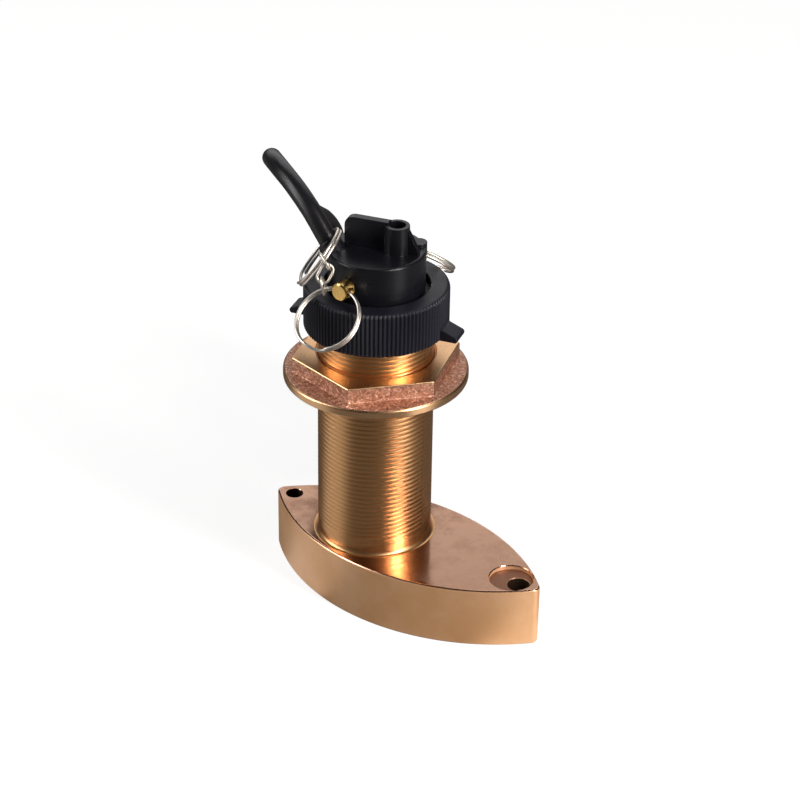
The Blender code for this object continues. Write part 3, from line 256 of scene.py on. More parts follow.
bpy.context.scene.view_settings.view_transform = "Standard"
make_camera()
make_world()
make_floor()
make_softbox("key_softbox", 50, 30, 1.3, 0.26, 1.3, 23.5, (1.0, 0.97, 0.93))
make_softbox("left_softbox", -86, 26, 1.4, 0.5, 1.2, 11.5)
make_softbox("back_softbox", 175, 48, 1.6, 1.4, 0.5, 4.0)


# Lead
# Black round cable, 8.6 mm thick: out of the head, over in one arc and down behind the blade, then wound
# on its edge into a coil of three layers, six turns wide, and out below to its plug.
CABLE_THICKNESS = 0.0086
CABLE_ROUTE = np.array((
    (-0.0204, 0.0040, 0.1685),
    (-0.0221, 0.0056, 0.1710),
    (-0.0287, 0.0131, 0.1794),
    (-0.0356, 0.0227, 0.1853),
    (-0.0418, 0.0335, 0.1881),
    (-0.0459, 0.0448, 0.1876),
    (-0.0473, 0.0548, 0.1842),
    (-0.0476, 0.0750, 0.1738),
    (-0.0449, 0.0900, 0.1620),
    (-0.0397, 0.1080, 0.1452),
    (-0.0334, 0.1260, 0.1251),
    (-0.0268, 0.1425, 0.1120),
    (-0.0225, 0.1502, 0.1005),
    (-0.0219, 0.1504, 0.0891),
))
COIL_AWAY = 0.0985
COIL_UP = 0.0564
COIL_PITCH = 0.00875
COIL_TURN_RADII = (0.0344, 0.04315, 0.0519)
COIL_COLUMNS = 6
COIL_TURNS = 13.25
LEAD_RUN_OUT = 0.0316
POINTS_PER_TURN = 40
POINTS_PER_STRETCH = 8
LEAD_SIDES = 20


def in_row(points):
    """Points given across, away and up from the stem's foot, turned into the part's own frame."""
    across, away, up = np.moveaxis(np.asarray(points, float), -1, 0)
    flat = across[..., None] * np.array(RIGHT) + away[..., None] * np.array(AWAY)
    return flat + up[..., None] * np.array(UP) + np.array(STEM_FOOT)


def smooth_curve(points, steps):
    """Catmull-Rom curve through points: each stretch is the cubic whose slope at a point is half the
    difference of its neighbours."""
    padded = np.vstack([2 * points[0] - points[1], points, 2 * points[-1] - points[-2]])
    before, first, second, after = (padded[k:len(padded) - 3 + k, None] for k in range(4))
    t = (np.arange(steps) / steps)[None, :, None]
    curve = 0.5 * (2 * first + (second - before) * t + (2 * before - 5 * first + 4 * second - after) * t ** 2
                   + (3 * first - before - 3 * second + after) * t ** 3)
    return np.vstack([curve.reshape(-1, 3), points[-1:]])


def coil_curve():
    """Centreline of the winding. Turns counts from the far side, down and round under the coil.

    Two turns step inwards in the first column, five go across on the inside, four come back one layer
    up and the rest goes across on the outside. A shift to the next column takes the first quarter of its
    turn and a step to another layer the last 0.35, so that no two turns touch."""
    turns = np.linspace(0.0, COIL_TURNS, int(COIL_TURNS * POINTS_PER_TURN) + 1)

    def shift(start, end):
        passed = np.clip((turns - start) / (end - start), 0.0, 1.0)
        return passed * passed * (3 - 2 * passed)

    layer = 2.0 + sum(way * shift(turn + 0.65, turn + 1.0)
                      for turn, way in ((0, -1), (1, -1), (6, 1), (10, 1)))
    ways = [(turn, 1) for turn in range(2, 7)] + [(turn, -1) for turn in range(7, 11)]
    ways += [(turn, 1) for turn in range(11, 14)]
    column = sum(way * shift(turn, turn + 0.25) for turn, way in ways)
    radius = np.interp(layer, range(3), COIL_TURN_RADII)
    across = (column - (COIL_COLUMNS - 1) / 2) * COIL_PITCH
    angle = -2 * math.pi * turns
    return np.stack([across, COIL_AWAY + radius * np.cos(angle), COIL_UP + radius * np.sin(angle)], axis=-1)


def lead_line():
    """The whole centreline: the route over the top, a straight run down to the coil, its turns and the way
    out."""
    route = smooth_curve(CABLE_ROUTE, POINTS_PER_STRETCH)
    winding = coil_curve()
    down = np.linspace(route[-1], winding[0], POINTS_PER_STRETCH)[1:-1]
    share = np.linspace(0.0, 1.0, POINTS_PER_STRETCH)[1:, None]
    leaving = winding[-1] + share * np.array([0.0, -LEAD_RUN_OUT, 0.0])
    return in_row(np.vstack([route, down, winding, leaving]))


def skin(name, grid, looped=False):
    """Closed mesh over a grid of points: each row is a ring, joined to the next by four-sided faces. The
    last row joins the first where looped is true; otherwise one flat face closes each end."""
    rows, columns = grid.shape[:2]
    index = np.arange(rows * columns).reshape(rows, columns)
    lower = index if looped else index[:-1]
    upper = np.roll(index, -1, axis=0) if looped else index[1:]
    sides = np.stack([lower, np.roll(lower, -1, axis=1), np.roll(upper, -1, axis=1), upper], axis=-1)
    faces = sides.reshape(-1, 4).tolist()
    if not looped:
        faces += [index[0][::-1].tolist(), index[-1].tolist()]
    mesh = bpy.data.meshes.new(name)
    mesh.from_pydata(grid.reshape(-1, 3).tolist(), [], faces)
    form = bmesh.new()
    form.from_mesh(mesh)
    bmesh.ops.remove_doubles(form, verts=form.verts, dist=1e-7)
    bmesh.ops.recalc_face_normals(form, faces=form.faces)
    form.to_mesh(mesh)
    form.free()
    made = bpy.data.objects.new(name, mesh)
    bpy.context.scene.collection.objects.link(made)
    return made


def tube_grid(line, radius, sides, level, closed=False):
    """Rings of points round a line: each lies across the line's own direction, its first axis square to
    both the line and level. Radius is one number or one for each point."""
    if closed:
        ahead = np.roll(line, -1, axis=0) - np.roll(line, 1, axis=0)
    else:
        ahead = np.gradient(line, axis=0)
    ahead /= np.linalg.norm(ahead, axis=1, keepdims=True)
    side = np.cross(np.broadcast_to(level, ahead.shape), ahead)
    side /= np.linalg.norm(side, axis=1, keepdims=True)
    other = np.cross(ahead, side)
    angle = 2 * np.pi * np.arange(sides) / sides
    round_it = np.cos(angle)[None, :, None] * side[:, None] + np.sin(angle)[None, :, None] * other[:, None]
    return line[:, None] + np.reshape(radius, (-1, 1, 1)) * round_it


def fit(piece, finish, nodes, sharp=40.0, even=True):
    """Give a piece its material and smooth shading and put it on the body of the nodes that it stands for
   ."""
    piece.data.materials.clear()
    piece.data.materials.append(finish.material)
    piece.data.shade_smooth()
    piece.data.set_sharp_from_angle(angle=math.radians(sharp))
    if even:
        piece.modifiers.new("even_normals", "WEIGHTED_NORMAL").keep_sharp = True
    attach(piece, body_of[nodes[0]])
    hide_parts(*nodes)


def jacket_finish():
    """Smooth black jacket with a faint grain and slightly uneven gloss."""
    finish = Finish("cable_jacket", {"IOR": 1.42})
    patches = finish.noise(90, 2.0)
    grain = finish.noise(2500, 2.0)
    finish.feed("Base Color", finish.mix(patches, (0.006, 0.006, 0.008, 1), (0.014, 0.012, 0.014, 1)))
    finish.feed("Roughness", 0.26 + 0.12 * patches)
    finish.relief(grain, 0.00004)
    return finish


lead_path = lead_line()
lead = skin("lead", tube_grid(lead_path, CABLE_THICKNESS / 2, LEAD_SIDES, np.array(RIGHT)))
fit(lead, jacket_finish(), ["cable", "cable_coil"], even=False)


# Plug and tie
# Moulded grip and ribbed screw collar of the lead's plug with its brass contacts, and the plastic band
# that holds the coil together.
TIE_PLACE = 0.8
TIE_WIDTH = 0.005
TIE_THICKNESS = 0.0012
TIE_GAP = 0.0001
TIE_POINTS = 96


def moulding_finish(name, dark, light, rough, grain_scale=1400, grain_height=0.00005):
    """Moulded plastic: a slightly uneven dark colour, satin gloss and a fine spark-eroded grain."""
    finish = Finish(name, {"IOR": 1.37})
    patches = finish.noise(120, 3.0)
    grain = finish.noise(grain_scale, 3.0, 0.6)
    finish.feed("Base Color", finish.mix(patches, (*dark, 1), (*light, 1)))
    finish.feed("Roughness", rough + 0.14 * (patches - 0.5) + 0.06 * grain)
    finish.relief(grain, grain_height)
    return finish


def dress(node, finish):
    """Give a CAD node that keeps its own shape a better material."""
    thing = frame["nodes"][node]
    if thing.material_slots:
        for held in thing.material_slots:
            held.material = finish.material
    else:
        thing.data.materials.append(finish.material)


def brass_finish():
    """Turned brass: a warm yellow with fine marks and a little tarnish."""
    finish = Finish("turned_brass", {"Metallic": 1.0})
    tarnish = finish.noise(300, 3.0)
    marks = finish.noise(2600, 2.0)
    finish.feed("Base Color", finish.mix(tarnish, (0.90, 0.62, 0.22, 1), (0.78, 0.48, 0.15, 1)))
    finish.feed("Roughness", 0.16 + 0.16 * tarnish)
    finish.relief(marks, 0.00003)
    return finish


def soften(piece, width, segments=3):
    """Round a piece's sharp edges."""
    bevel = piece.modifiers.new("edges", "BEVEL")
    bevel.width = width
    bevel.segments = segments
    bevel.limit_method = "ANGLE"
    bevel.angle_limit = math.radians(35)
    return piece


def make_tie():
    """Band drawn tight round the turns at one place of the coil. In each direction of the coil's section
    it touches the turn that reaches furthest."""
    winding = coil_curve()[int(TIE_PLACE * POINTS_PER_TURN)::POINTS_PER_TURN]
    lean = -2 * math.pi * TIE_PLACE
    outward = np.array([0.0, math.cos(lean), math.sin(lean)])
    along = np.array([0.0, -math.sin(lean), math.cos(lean)])
    across = np.array([1.0, 0.0, 0.0])
    centre = np.array([0.0, COIL_AWAY, COIL_UP])
    turns = np.column_stack([winding[:, 0], (winding - centre) @ outward])
    angle = np.linspace(0.0, 2 * np.pi, TIE_POINTS, endpoint=False)
    way = np.column_stack([np.cos(angle), np.sin(angle)])
    furthest = turns[np.argmax(way @ turns.T, axis=1)]
    corners = []
    for lift, side in ((TIE_GAP, -0.5), (TIE_THICKNESS, -0.5), (TIE_THICKNESS, 0.5), (TIE_GAP, 0.5)):
        flat = furthest + way * (CABLE_THICKNESS / 2 + lift)
        corners.append(centre + flat[:, :1] * across + flat[:, 1:] * outward + side * TIE_WIDTH * along)
    return skin("coil_band", in_row(np.stack(corners, axis=1)), looped=True)


brass = brass_finish()
plug_moulding = moulding_finish("plug_moulding", (0.010, 0.010, 0.012), (0.020, 0.019, 0.022), 0.42)
dress("connector_body", plug_moulding)
dress("connector_collar", plug_moulding)
fit(soften(make_tie(), 0.0002), plug_moulding, ["coil_tie"])
contacts = [f"contact_{number}" for number in range(1, 6)]
for contact in contacts:
    dress(contact, brass)


# Blade
# The pointed oval base, cast in bronze in one with the stem, its top milled flat and bright and its sides
# linished. Anchor screws go through the holes at its tips; the larger one has a shallow spot face.
HOUSING_LOW, HOUSING_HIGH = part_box("housing")
BLADE_LENGTH = HOUSING_HIGH[0] - HOUSING_LOW[0]
BLADE_WIDTH = HOUSING_HIGH[1] - HOUSING_LOW[1]
BLADE_TIP_RADIUS = 0.0035
BLADE_EDGE_RADIUS = 0.0009
BOLT_HOLE_RADIUS = 0.0049
BOLT_HOLE_PLACE = BLADE_LENGTH / 2 - 0.0103
BOLT_SEAT_RADIUS = 0.00975
BOLT_SEAT_PLACE = BLADE_LENGTH / 2 - 0.0141
BOLT_SEAT_DEPTH = 0.002
SMALL_HOLE_RADIUS = 0.0037
SMALL_HOLE_PLACE = 0.0086 - BLADE_LENGTH / 2
HOLE_CHAMFER = 0.0003
HOLE_SIDES = 64
CUT_OVERRUN = 0.005
BORE_RADIUS = 0.0219
TIP_POINTS = 17
SIDE_POINTS = 120


def blade_ring(inset):
    """Outline of the blade, moved in by inset: two side arcs whose radius follows from length, width and
    tip radius, and a small arc at each tip."""
    tip_x = BLADE_LENGTH / 2 - BLADE_TIP_RADIUS
    half = BLADE_WIDTH / 2
    side = (tip_x ** 2 + half ** 2 - BLADE_TIP_RADIUS ** 2) / (2 * (half - BLADE_TIP_RADIUS))
    lean = math.atan2(side - half, tip_x)
    tip = np.linspace(-lean, lean, TIP_POINTS)[:, None]
    long = np.linspace(lean, math.pi - lean, SIDE_POINTS)[1:-1, None]
    arcs = []
    for turn in (0.0, math.pi):
        small = (BLADE_TIP_RADIUS - inset) * np.hstack([np.cos(tip), np.sin(tip)]) + [tip_x, 0.0]
        large = (side - inset) * np.hstack([np.cos(long), np.sin(long)]) - [0.0, side - half]
        spin = np.array([[math.cos(turn), math.sin(turn)], [-math.sin(turn), math.cos(turn)]])
        arcs.append(np.vstack([small, large]) @ spin)
    return np.vstack(arcs)


def turned(profile, segments, x=0.0):
    """Grid of a surface of revolution about the upright axis at x: each (radius, height) pair of the
    outline makes one ring."""
    radius, height = np.asarray(profile, float).T[:, :, None]
    angle = 2 * np.pi * np.arange(segments) / segments
    return np.stack([x + radius * np.cos(angle), radius * np.sin(angle), height + 0 * angle], axis=-1)


def carve(piece, cutters):
    """Cut closed shapes out of a piece, keep the result as its own mesh and remove the shapes."""
    for cutter in cutters:
        step = piece.modifiers.new("cut", "BOOLEAN")
        step.operation = "DIFFERENCE"
        step.solver = "EXACT"
        step.object = cutter
    graph = bpy.context.evaluated_depsgraph_get()
    graph.update()
    carved = bpy.data.meshes.new_from_object(piece.evaluated_get(graph))
    piece.modifiers.clear()
    piece.data = carved
    for cutter in cutters:
        bpy.data.objects.remove(cutter)


def drill(name, radius, bottom, top, x, chamfer=HOLE_CHAMFER):
    """Cutter for an upright hole whose upper mouth is broken by a small chamfer."""
    mouth = radius + chamfer
    profile = [(radius, bottom), (radius, top - chamfer), (mouth, top), (mouth, top + CUT_OVERRUN)]
    return skin(name, turned(profile, HOLE_SIDES, x))


def off_axis(across, along, x):
    """Distance from the upright axis at x: the root of the sum of both squares."""
    return ((across - x) ** 2.0 + along ** 2.0) ** 0.5


def blade_finish():
    """Bronze: the linished sides orange-brown and satin, the milled top pinker, brighter and stained. Painted
    shade colours the spot face's floor dark brown and the walls of the anchor holes nearly black.
    """
    finish = Finish("blade_bronze")
    across, along, height = finish.parts(finish.place())
    facing = finish.parts(finish.node("ShaderNodeNewGeometry", output="True Normal"))[2]
    top = height.step(BLADE_TOP - 0.0007, BLADE_TOP - 0.0002)
    # painted shade: the spot face's floor, facing up below the top, is coloured dark brown
    seat_painted_shade = facing.step(0.85, 0.98) * (1.0 - top)
    # painted shade: the walls of the two anchor holes are coloured nearly black
    holes = ((BOLT_HOLE_PLACE, BOLT_HOLE_RADIUS), (SMALL_HOLE_PLACE, SMALL_HOLE_RADIUS))
    hole = sum(1.0 - off_axis(across, along, x).step(radius + 0.0001, radius + 0.0003) for x, radius in holes)
    cloud = finish.noise(28, 4.0, 0.6)
    stain = finish.noise(75, 4.0, 0.65).step(0.40, 0.72)
    linish = finish.noise(500, 3.0, 0.6, (0.25, 0.25, 3.0))
    grain = finish.noise(3200, 2.0)
    side_colour = finish.mix(cloud.step(0.3, 0.7), (1.0, 0.60, 0.34, 1), (0.85, 0.46, 0.22, 1))
    # painted shade on the spot face's floor
    side_colour = finish.mix(seat_painted_shade, side_colour, (0.20, 0.085, 0.045, 1))
    top_colour = finish.mix(stain, (0.80, 0.47, 0.32, 1), (0.50, 0.27, 0.18, 1))
    colour = finish.mix(top, side_colour, top_colour)
    # painted shade in the anchor holes
    finish.feed("Base Color", finish.mix(hole, colour, (0.05, 0.025, 0.015, 1)))
    side_rough = 0.40 + 0.20 * (cloud - 0.5) + 0.08 * linish
    top_rough = 0.08 + 0.15 * stain + 0.05 * grain
    finish.feed("Metallic", 0.5 + 0.5 * top)
    finish.feed("Roughness", side_rough + top * (top_rough - side_rough))
    finish.relief((linish * 0.7 + grain * 0.5) * (1.0 - 0.8 * top) + cloud * 0.3, 0.00006)
    return finish


def make_blade():
    """Blade with both long edges rounded, its three holes and the stem's bore cut through it."""
    turn = np.linspace(0.0, math.pi / 2, 7)
    edge = BLADE_EDGE_RADIUS
    insets = np.concatenate([edge * (1 - np.sin(turn)), edge * (1 - np.cos(turn))])
    heights = np.concatenate([edge * (1 - np.cos(turn)), BLADE_TOP - edge * (1 - np.sin(turn))])
    outlines = np.stack([blade_ring(inset) for inset in insets])
    level = np.broadcast_to(heights[:, None, None], (*outlines.shape[:2], 1))
    blade = skin("blade", np.concatenate([outlines, level], axis=-1))
    seat = BLADE_TOP - BOLT_SEAT_DEPTH
    carve(blade, [
        drill("bolt_hole", BOLT_HOLE_RADIUS, -CUT_OVERRUN, seat, BOLT_HOLE_PLACE),
        drill("bolt_seat", BOLT_SEAT_RADIUS, seat, BLADE_TOP, BOLT_SEAT_PLACE),
        drill("small_hole", SMALL_HOLE_RADIUS, -CUT_OVERRUN, BLADE_TOP, SMALL_HOLE_PLACE),
        drill("bore", BORE_RADIUS, -CUT_OVERRUN, BLADE_TOP, STEM_X, 0.0),
    ])
    fit(blade, blade_finish(), ["housing"], sharp=30.0)


make_blade()


# Stem
# The upright tube cast with the blade, turned and cut with a straight thread of 11.5 to the inch from its
# small foot flare to its chamfered end.
STEM_RADIUS = 0.0254
STEM_TOP = HOUSING_HIGH[2]
STEM_START = 0.001
THREAD_PITCH = 0.0254 / 11.5
THREAD_DEPTH = 0.0002
THREAD_FLAT = 1.6
THREAD_STEPS = 8
THREAD_COLUMNS = 120
THREAD_END = 0.0003
CORE_GAP = 0.0002
THREAD_BACKING = 0.0004
CORE_SIDES = 128
FOOT_RADIUS = 0.002
FOOT_HEIGHT = 0.0062
FOOT_STEP = 0.001
STEM_CHAMFER = 0.0009
BORE_CHAMFER = 0.0005


def stem_finish():
    """Turned bronze, warm yellow, with fine marks that run round the stem, and painted shade that makes the
    thread's roots darker.
    """
    finish = Finish("threaded_bronze", {"Metallic": 1.0})
    across, along, _ = finish.parts(finish.place())
    crest = off_axis(across, along, STEM_X).step(STEM_RADIUS - THREAD_DEPTH, STEM_RADIUS - 0.0001)
    cloud = finish.noise(60, 3.0)
    marks = finish.noise(900, 2.0, 0.5, (0.2, 0.2, 8.0))
    # painted shade: the thread's roots get a darker colour than the crests, whose tone varies in patches
    crest_tone = finish.mix(cloud, (0.76, 0.42, 0.19, 1), (0.64, 0.34, 0.15, 1))
    finish.feed("Base Color", finish.mix(crest, (0.56, 0.29, 0.12, 1), crest_tone))
    finish.feed("Roughness", 0.25 + 0.12 * cloud + 0.08 * (1.0 - crest))
    finish.relief(marks, 0.00003)
    return finish


def make_stem():
    """Core with foot and bore, and the thread: a strip one pitch high, wound up the stem as a helix."""
    bronze = stem_finish()
    turn = np.linspace(0.0, math.pi / 2, 9)
    foot_top = BLADE_TOP + FOOT_HEIGHT
    root = STEM_RADIUS - THREAD_DEPTH
    inner = root - CORE_GAP
    profile = [(BORE_RADIUS, STEM_START), (STEM_RADIUS, STEM_START)]
    profile += [(STEM_RADIUS + FOOT_RADIUS, BLADE_TOP - FOOT_STEP)]
    profile += [(STEM_RADIUS + FOOT_RADIUS * (1 - math.sin(a)), BLADE_TOP + FOOT_RADIUS * (1 - math.cos(a)))
                for a in turn]
    profile += [(STEM_RADIUS, foot_top - FOOT_STEP), (root, foot_top), (inner, foot_top + FOOT_STEP / 2)]
    profile += [(inner, STEM_TOP - STEM_CHAMFER), (inner - 0.0004, STEM_TOP)]
    profile += [(BORE_RADIUS + BORE_CHAMFER, STEM_TOP), (BORE_RADIUS, STEM_TOP - BORE_CHAMFER)]
    core = skin("stem_core", turned(profile, CORE_SIDES, STEM_X), looped=True)
    fit(core, bronze, ["housing"], sharp=50.0)

    top = STEM_TOP - THREAD_END
    rows = int((top - foot_top) / THREAD_PITCH + 2) * THREAD_STEPS
    phase = (np.arange(rows) / THREAD_STEPS)[:, None]
    angle = np.linspace(0.0, 2 * np.pi, THREAD_COLUMNS + 1)[None, :]
    height = foot_top + THREAD_PITCH * (phase - 1 + angle / (2 * np.pi))
    valley = np.clip(0.5 - 0.5 * np.cos(2 * np.pi * phase), 0.0, 1.0) ** THREAD_FLAT
    inside = np.clip(height, foot_top, top)
    run_in = np.clip((inside - foot_top) / THREAD_PITCH, 0.0, 1.0) ** 2
    run_out = np.clip((top - inside) / STEM_CHAMFER, 0.0, 1.0)
    radius = STEM_RADIUS - THREAD_DEPTH * (1 - (1 - valley * run_in) * run_out)
    radius = np.pad(radius, ((1, 1), (0, 0)), constant_values=root - THREAD_BACKING)
    level = np.pad(inside, ((1, 1), (0, 0)), constant_values=((foot_top, top), (0, 0)))
    grid = np.stack([STEM_X + radius * np.cos(angle), radius * np.sin(angle), level], axis=-1)
    thread = skin("stem_thread", grid, looped=True)
    fit(thread, bronze, ["housing"], sharp=80.0, even=False)


make_stem()


# Hull nut
# One bronze casting, hexagon on a round flange, left rough from the sand on its flats and the flange's
# top, and faced bright on the hexagon's top, the rim and underneath.
NUT_LOW, NUT_HIGH = (corner[2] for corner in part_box("hull_nut"))
FLANGE_RADIUS = 0.0405
FLANGE_RIM_HEIGHT = 0.004
FLANGE_RISE = 0.0008
FLANGE_EDGE = 0.0009
HEX_CORNER_REACH = 0.0373
HEX_CORNER_RADIUS = 0.0015
HEX_CHAMFER = 0.0006
HEX_FILLET = 0.0007
HEX_TURN = math.radians(-13.4)
NUT_BORE = 0.0257
NUT_BORE_CHAMFER = 0.0008
NUT_COLUMNS = 720


def hex_reach(angle):
    """Distance from the middle to the hexagon's outline: the flat's distance over the cosine of the angle
    from it, cut short at a corner by the corner's arc."""
    flat = HEX_CORNER_REACH * math.cos(math.pi / 6)
    folded = (angle - HEX_TURN) % (math.pi / 3) - math.pi / 6
    straight = flat / np.cos(folded)
    from_corner = math.pi / 6 - np.abs(folded)
    centre = HEX_CORNER_REACH - HEX_CORNER_RADIUS
    arc = centre * np.cos(from_corner) + np.sqrt(
        np.maximum(HEX_CORNER_RADIUS ** 2 - (centre * np.sin(from_corner)) ** 2, 0.0))
    near = centre * np.sin(from_corner) < HEX_CORNER_RADIUS * math.sin(math.pi / 6)
    return np.where(near, np.minimum(arc, straight), straight)


def cast_finish():
    """Sand-cast bronze: coarse grain and pits with bright specks; the faced parts smooth and golden."""
    finish = Finish("cast_bronze", {"Metallic": 1.0})
    across, along, height = finish.parts(finish.place())
    above = height - NUT_LOW
    rim = off_axis(across, along, STEM_X).step(FLANGE_RADIUS - 0.0009, FLANGE_RADIUS - 0.0004)
    crown = above.step(NUT_HIGH - NUT_LOW - 0.0008, NUT_HIGH - NUT_LOW - 0.0005)
    under = 1.0 - above.step(0.0001, 0.0006)
    faced = rim.math("MAXIMUM", crown).math("MAXIMUM", under)
    sand = finish.noise(620, 4.0, 0.75)
    coarse = finish.noise(240, 3.0, 0.6)
    specks = finish.noise(800, 2.0).step(0.52, 0.66)
    marks = finish.noise(1200, 2.0)
    rough_colour = finish.mix(sand.step(0.35, 0.62), (0.34, 0.15, 0.09, 1), (0.70, 0.37, 0.25, 1))
    rough_colour = finish.mix(specks, rough_colour, (0.95, 0.62, 0.46, 1))
    faced_colour = finish.mix(coarse, (0.94, 0.58, 0.32, 1), (0.76, 0.43, 0.22, 1))
    finish.feed("Base Color", finish.mix(faced, rough_colour, faced_colour))
    cast_rough = 0.46 - 0.12 * specks
    finish.feed("Roughness", cast_rough + faced * (0.24 + 0.1 * marks - cast_rough))
    finish.relief((sand * 0.9 + coarse * 0.5) * (1.0 - faced) + marks * 0.012, 0.0009)
    return finish


def make_hull_nut():
    """Each column of the grid is the nut's section at one angle: bore, underside, rounded rim, the rising
    top of the flange, the flat or corner of the hexagon and its chamfered crown."""
    angle = 2 * np.pi * np.arange(NUT_COLUMNS) / NUT_COLUMNS
    reach = hex_reach(angle)
    turn = np.linspace(0.0, math.pi / 2, 6)
    edge = FLANGE_EDGE
    crown = NUT_HIGH - NUT_LOW
    rows = []

    def level(radius, height):
        rows.append((np.broadcast_to(radius, (NUT_COLUMNS,)), height))

    level(NUT_BORE + NUT_BORE_CHAMFER, 0.0)
    for a in turn:
        level(FLANGE_RADIUS - edge + edge * math.sin(a), edge - edge * math.cos(a))
    for a in turn:
        level(FLANGE_RADIUS - edge + edge * math.cos(a), FLANGE_RIM_HEIGHT - edge + edge * math.sin(a))
    top = FLANGE_RIM_HEIGHT + FLANGE_RISE
    for share in (0.25, 0.5, 0.75):
        level(FLANGE_RADIUS - edge + (reach + HEX_FILLET - FLANGE_RADIUS + edge) * share,
              FLANGE_RIM_HEIGHT + FLANGE_RISE * share)
    for a in turn:
        level(reach + HEX_FILLET * (1 - math.sin(a)), top + HEX_FILLET * (1 - math.cos(a)))
    for a in turn:
        level(reach - HEX_CHAMFER * (1 - math.cos(a)), crown - HEX_CHAMFER * (1 - math.sin(a)))
    level(NUT_BORE + NUT_BORE_CHAMFER, crown)
    level(NUT_BORE, crown - NUT_BORE_CHAMFER)
    level(NUT_BORE, NUT_BORE_CHAMFER)
    radius = np.stack([row[0] for row in rows])
    height = np.array([row[1] for row in rows])[:, None] + np.zeros(NUT_COLUMNS)
    grid = np.stack([STEM_X + radius * np.cos(angle), radius * np.sin(angle), NUT_LOW + height], axis=-1)
    nut = skin("hull_nut_casting", grid, looped=True)
    fit(nut, cast_finish(), ["hull_nut"], sharp=38.0)


make_hull_nut()


# Cap nut
# Black moulded nut that holds the insert down: fine upright ribs round its wall, a plain rounded shoulder,
# a round mouth, and an ear at each side to turn it by.
CAP_LOW, CAP_HIGH = (corner[2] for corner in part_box("cap_nut"))
CAP_RADIUS = 0.03155
CAP_EDGE = 0.002
CAP_LIP = 0.0006
CAP_FOOT = ((0.0009, 0.0, 0.0), (0.0003, 0.0002, 0.6), (0.0, 0.0008, 1.0))
RIB_COUNT = 108
RIB_DEPTH = 0.0006
RIB_COLUMNS = 8
RIB_SHARPNESS = 1.6
RIB_FADE = 0.7
CAP_MOUTH = 0.023
CAP_TOP_WALL = 0.003
CAP_TURN = math.radians(14.3)
EAR_REACH = 0.0386
EAR_WIDTH = 0.010
EAR_HEIGHT = 0.0052
EAR_TIP_HEIGHT = 0.0026
EAR_CHAMFER = 0.0007
EAR_ROOT = 0.002


def ear_plate(name, outline, turn):
    """Upright plate that stands out from the cap at an angle: an outline of (distance from the axis, height)
    pairs, as wide as the ear to both sides of its middle."""
    outline = np.asarray(outline, float)
    out = np.array([math.cos(turn), math.sin(turn), 0.0])
    across = np.array([-math.sin(turn), math.cos(turn), 0.0]) * EAR_WIDTH / 2
    flat = outline[:, :1] * out + outline[:, 1:] * np.array(UP) + np.array([STEM_X, 0.0, CAP_LOW])
    return skin(name, np.stack([flat - across, flat + across]))


cap_plastic = moulding_finish("cap_moulding", (0.005, 0.005, 0.009), (0.014, 0.014, 0.024), 0.42,
                              grain_scale=1100, grain_height=0.00006)


def make_cap_nut():
    """Section of the cap at each angle. Each row is a radius, a height and the share of the ribs' depth
    there; the ribs are narrow ridges with wider grooves between, and fade out over the shoulder."""
    columns = RIB_COUNT * RIB_COLUMNS
    angle = 2 * np.pi * np.arange(columns) / columns + CAP_TURN
    groove = 1.0 - (0.5 + 0.5 * np.cos(RIB_COUNT * (angle - CAP_TURN))) ** RIB_SHARPNESS
    tall = CAP_HIGH - CAP_LOW
    turn = np.linspace(0.0, math.pi / 2, 9)
    rows = [(NUT_BORE, 0.0, 0.0)] + [(CAP_RADIUS - inset, height, share) for inset, height, share in CAP_FOOT]
    rows += [(CAP_RADIUS, tall * 0.45, 1.0)]
    for a in turn:
        shoulder = CAP_RADIUS - CAP_EDGE * (1 - math.cos(a))
        rows.append((shoulder, tall - CAP_EDGE * (1 - math.sin(a)), math.cos(a) ** RIB_FADE))
    for a in turn[::2]:
        rows.append((CAP_MOUTH + CAP_LIP * (1 - math.sin(a)), tall - CAP_LIP * (1 - math.cos(a)), 0.0))
    rows += [(CAP_MOUTH, tall - CAP_TOP_WALL, 0.0), (NUT_BORE, tall - CAP_TOP_WALL, 0.0)]
    radius = np.array([[r] for r, _, _ in rows]) - RIB_DEPTH * np.array([[s] for _, _, s in rows]) * groove
    height = np.array([[h] for _, h, _ in rows]) + np.zeros(columns)
    grid = np.stack([STEM_X + radius * np.cos(angle), radius * np.sin(angle), CAP_LOW + height], axis=-1)
    fit(skin("cap_nut_wall", grid, looped=True), cap_plastic, ["cap_nut"], sharp=50.0)

    inside = CAP_RADIUS - EAR_ROOT
    ear = [(inside, 0.0), (EAR_REACH - EAR_CHAMFER, 0.0), (EAR_REACH, EAR_CHAMFER)]
    ear += [(EAR_REACH, EAR_TIP_HEIGHT - EAR_CHAMFER), (EAR_REACH - EAR_CHAMFER, EAR_TIP_HEIGHT)]
    ear += [(CAP_RADIUS, EAR_HEIGHT), (inside, EAR_HEIGHT)]
    for name, turn in (("cap_ear_right", CAP_TURN), ("cap_ear_left", CAP_TURN + math.pi)):
        fit(soften(ear_plate(name, ear, turn), 0.0004), cap_plastic, ["cap_nut"])


make_cap_nut()


# Insert head
# Black moulding that is keyed into the insert: neck, pull fin with its hollow hub, gusset and lug, with
# small moulded radii on every edge, and the boot that the lead leaves from.
def softened_copy(node, name, width, segments=3):
    """A node's own shape with its loose triangles joined, its flat faces made whole and its edges
    rounded."""
    mesh = frame["nodes"][node].data.copy()
    form = bmesh.new()
    form.from_mesh(mesh)
    bmesh.ops.remove_doubles(form, verts=form.verts, dist=1e-6)
    bmesh.ops.dissolve_limit(form, angle_limit=math.radians(1.0), verts=form.verts, edges=form.edges)
    form.to_mesh(mesh)
    form.free()
    piece = bpy.data.objects.new(name, mesh)
    bpy.context.scene.collection.objects.link(piece)
    return soften(piece, width, segments)


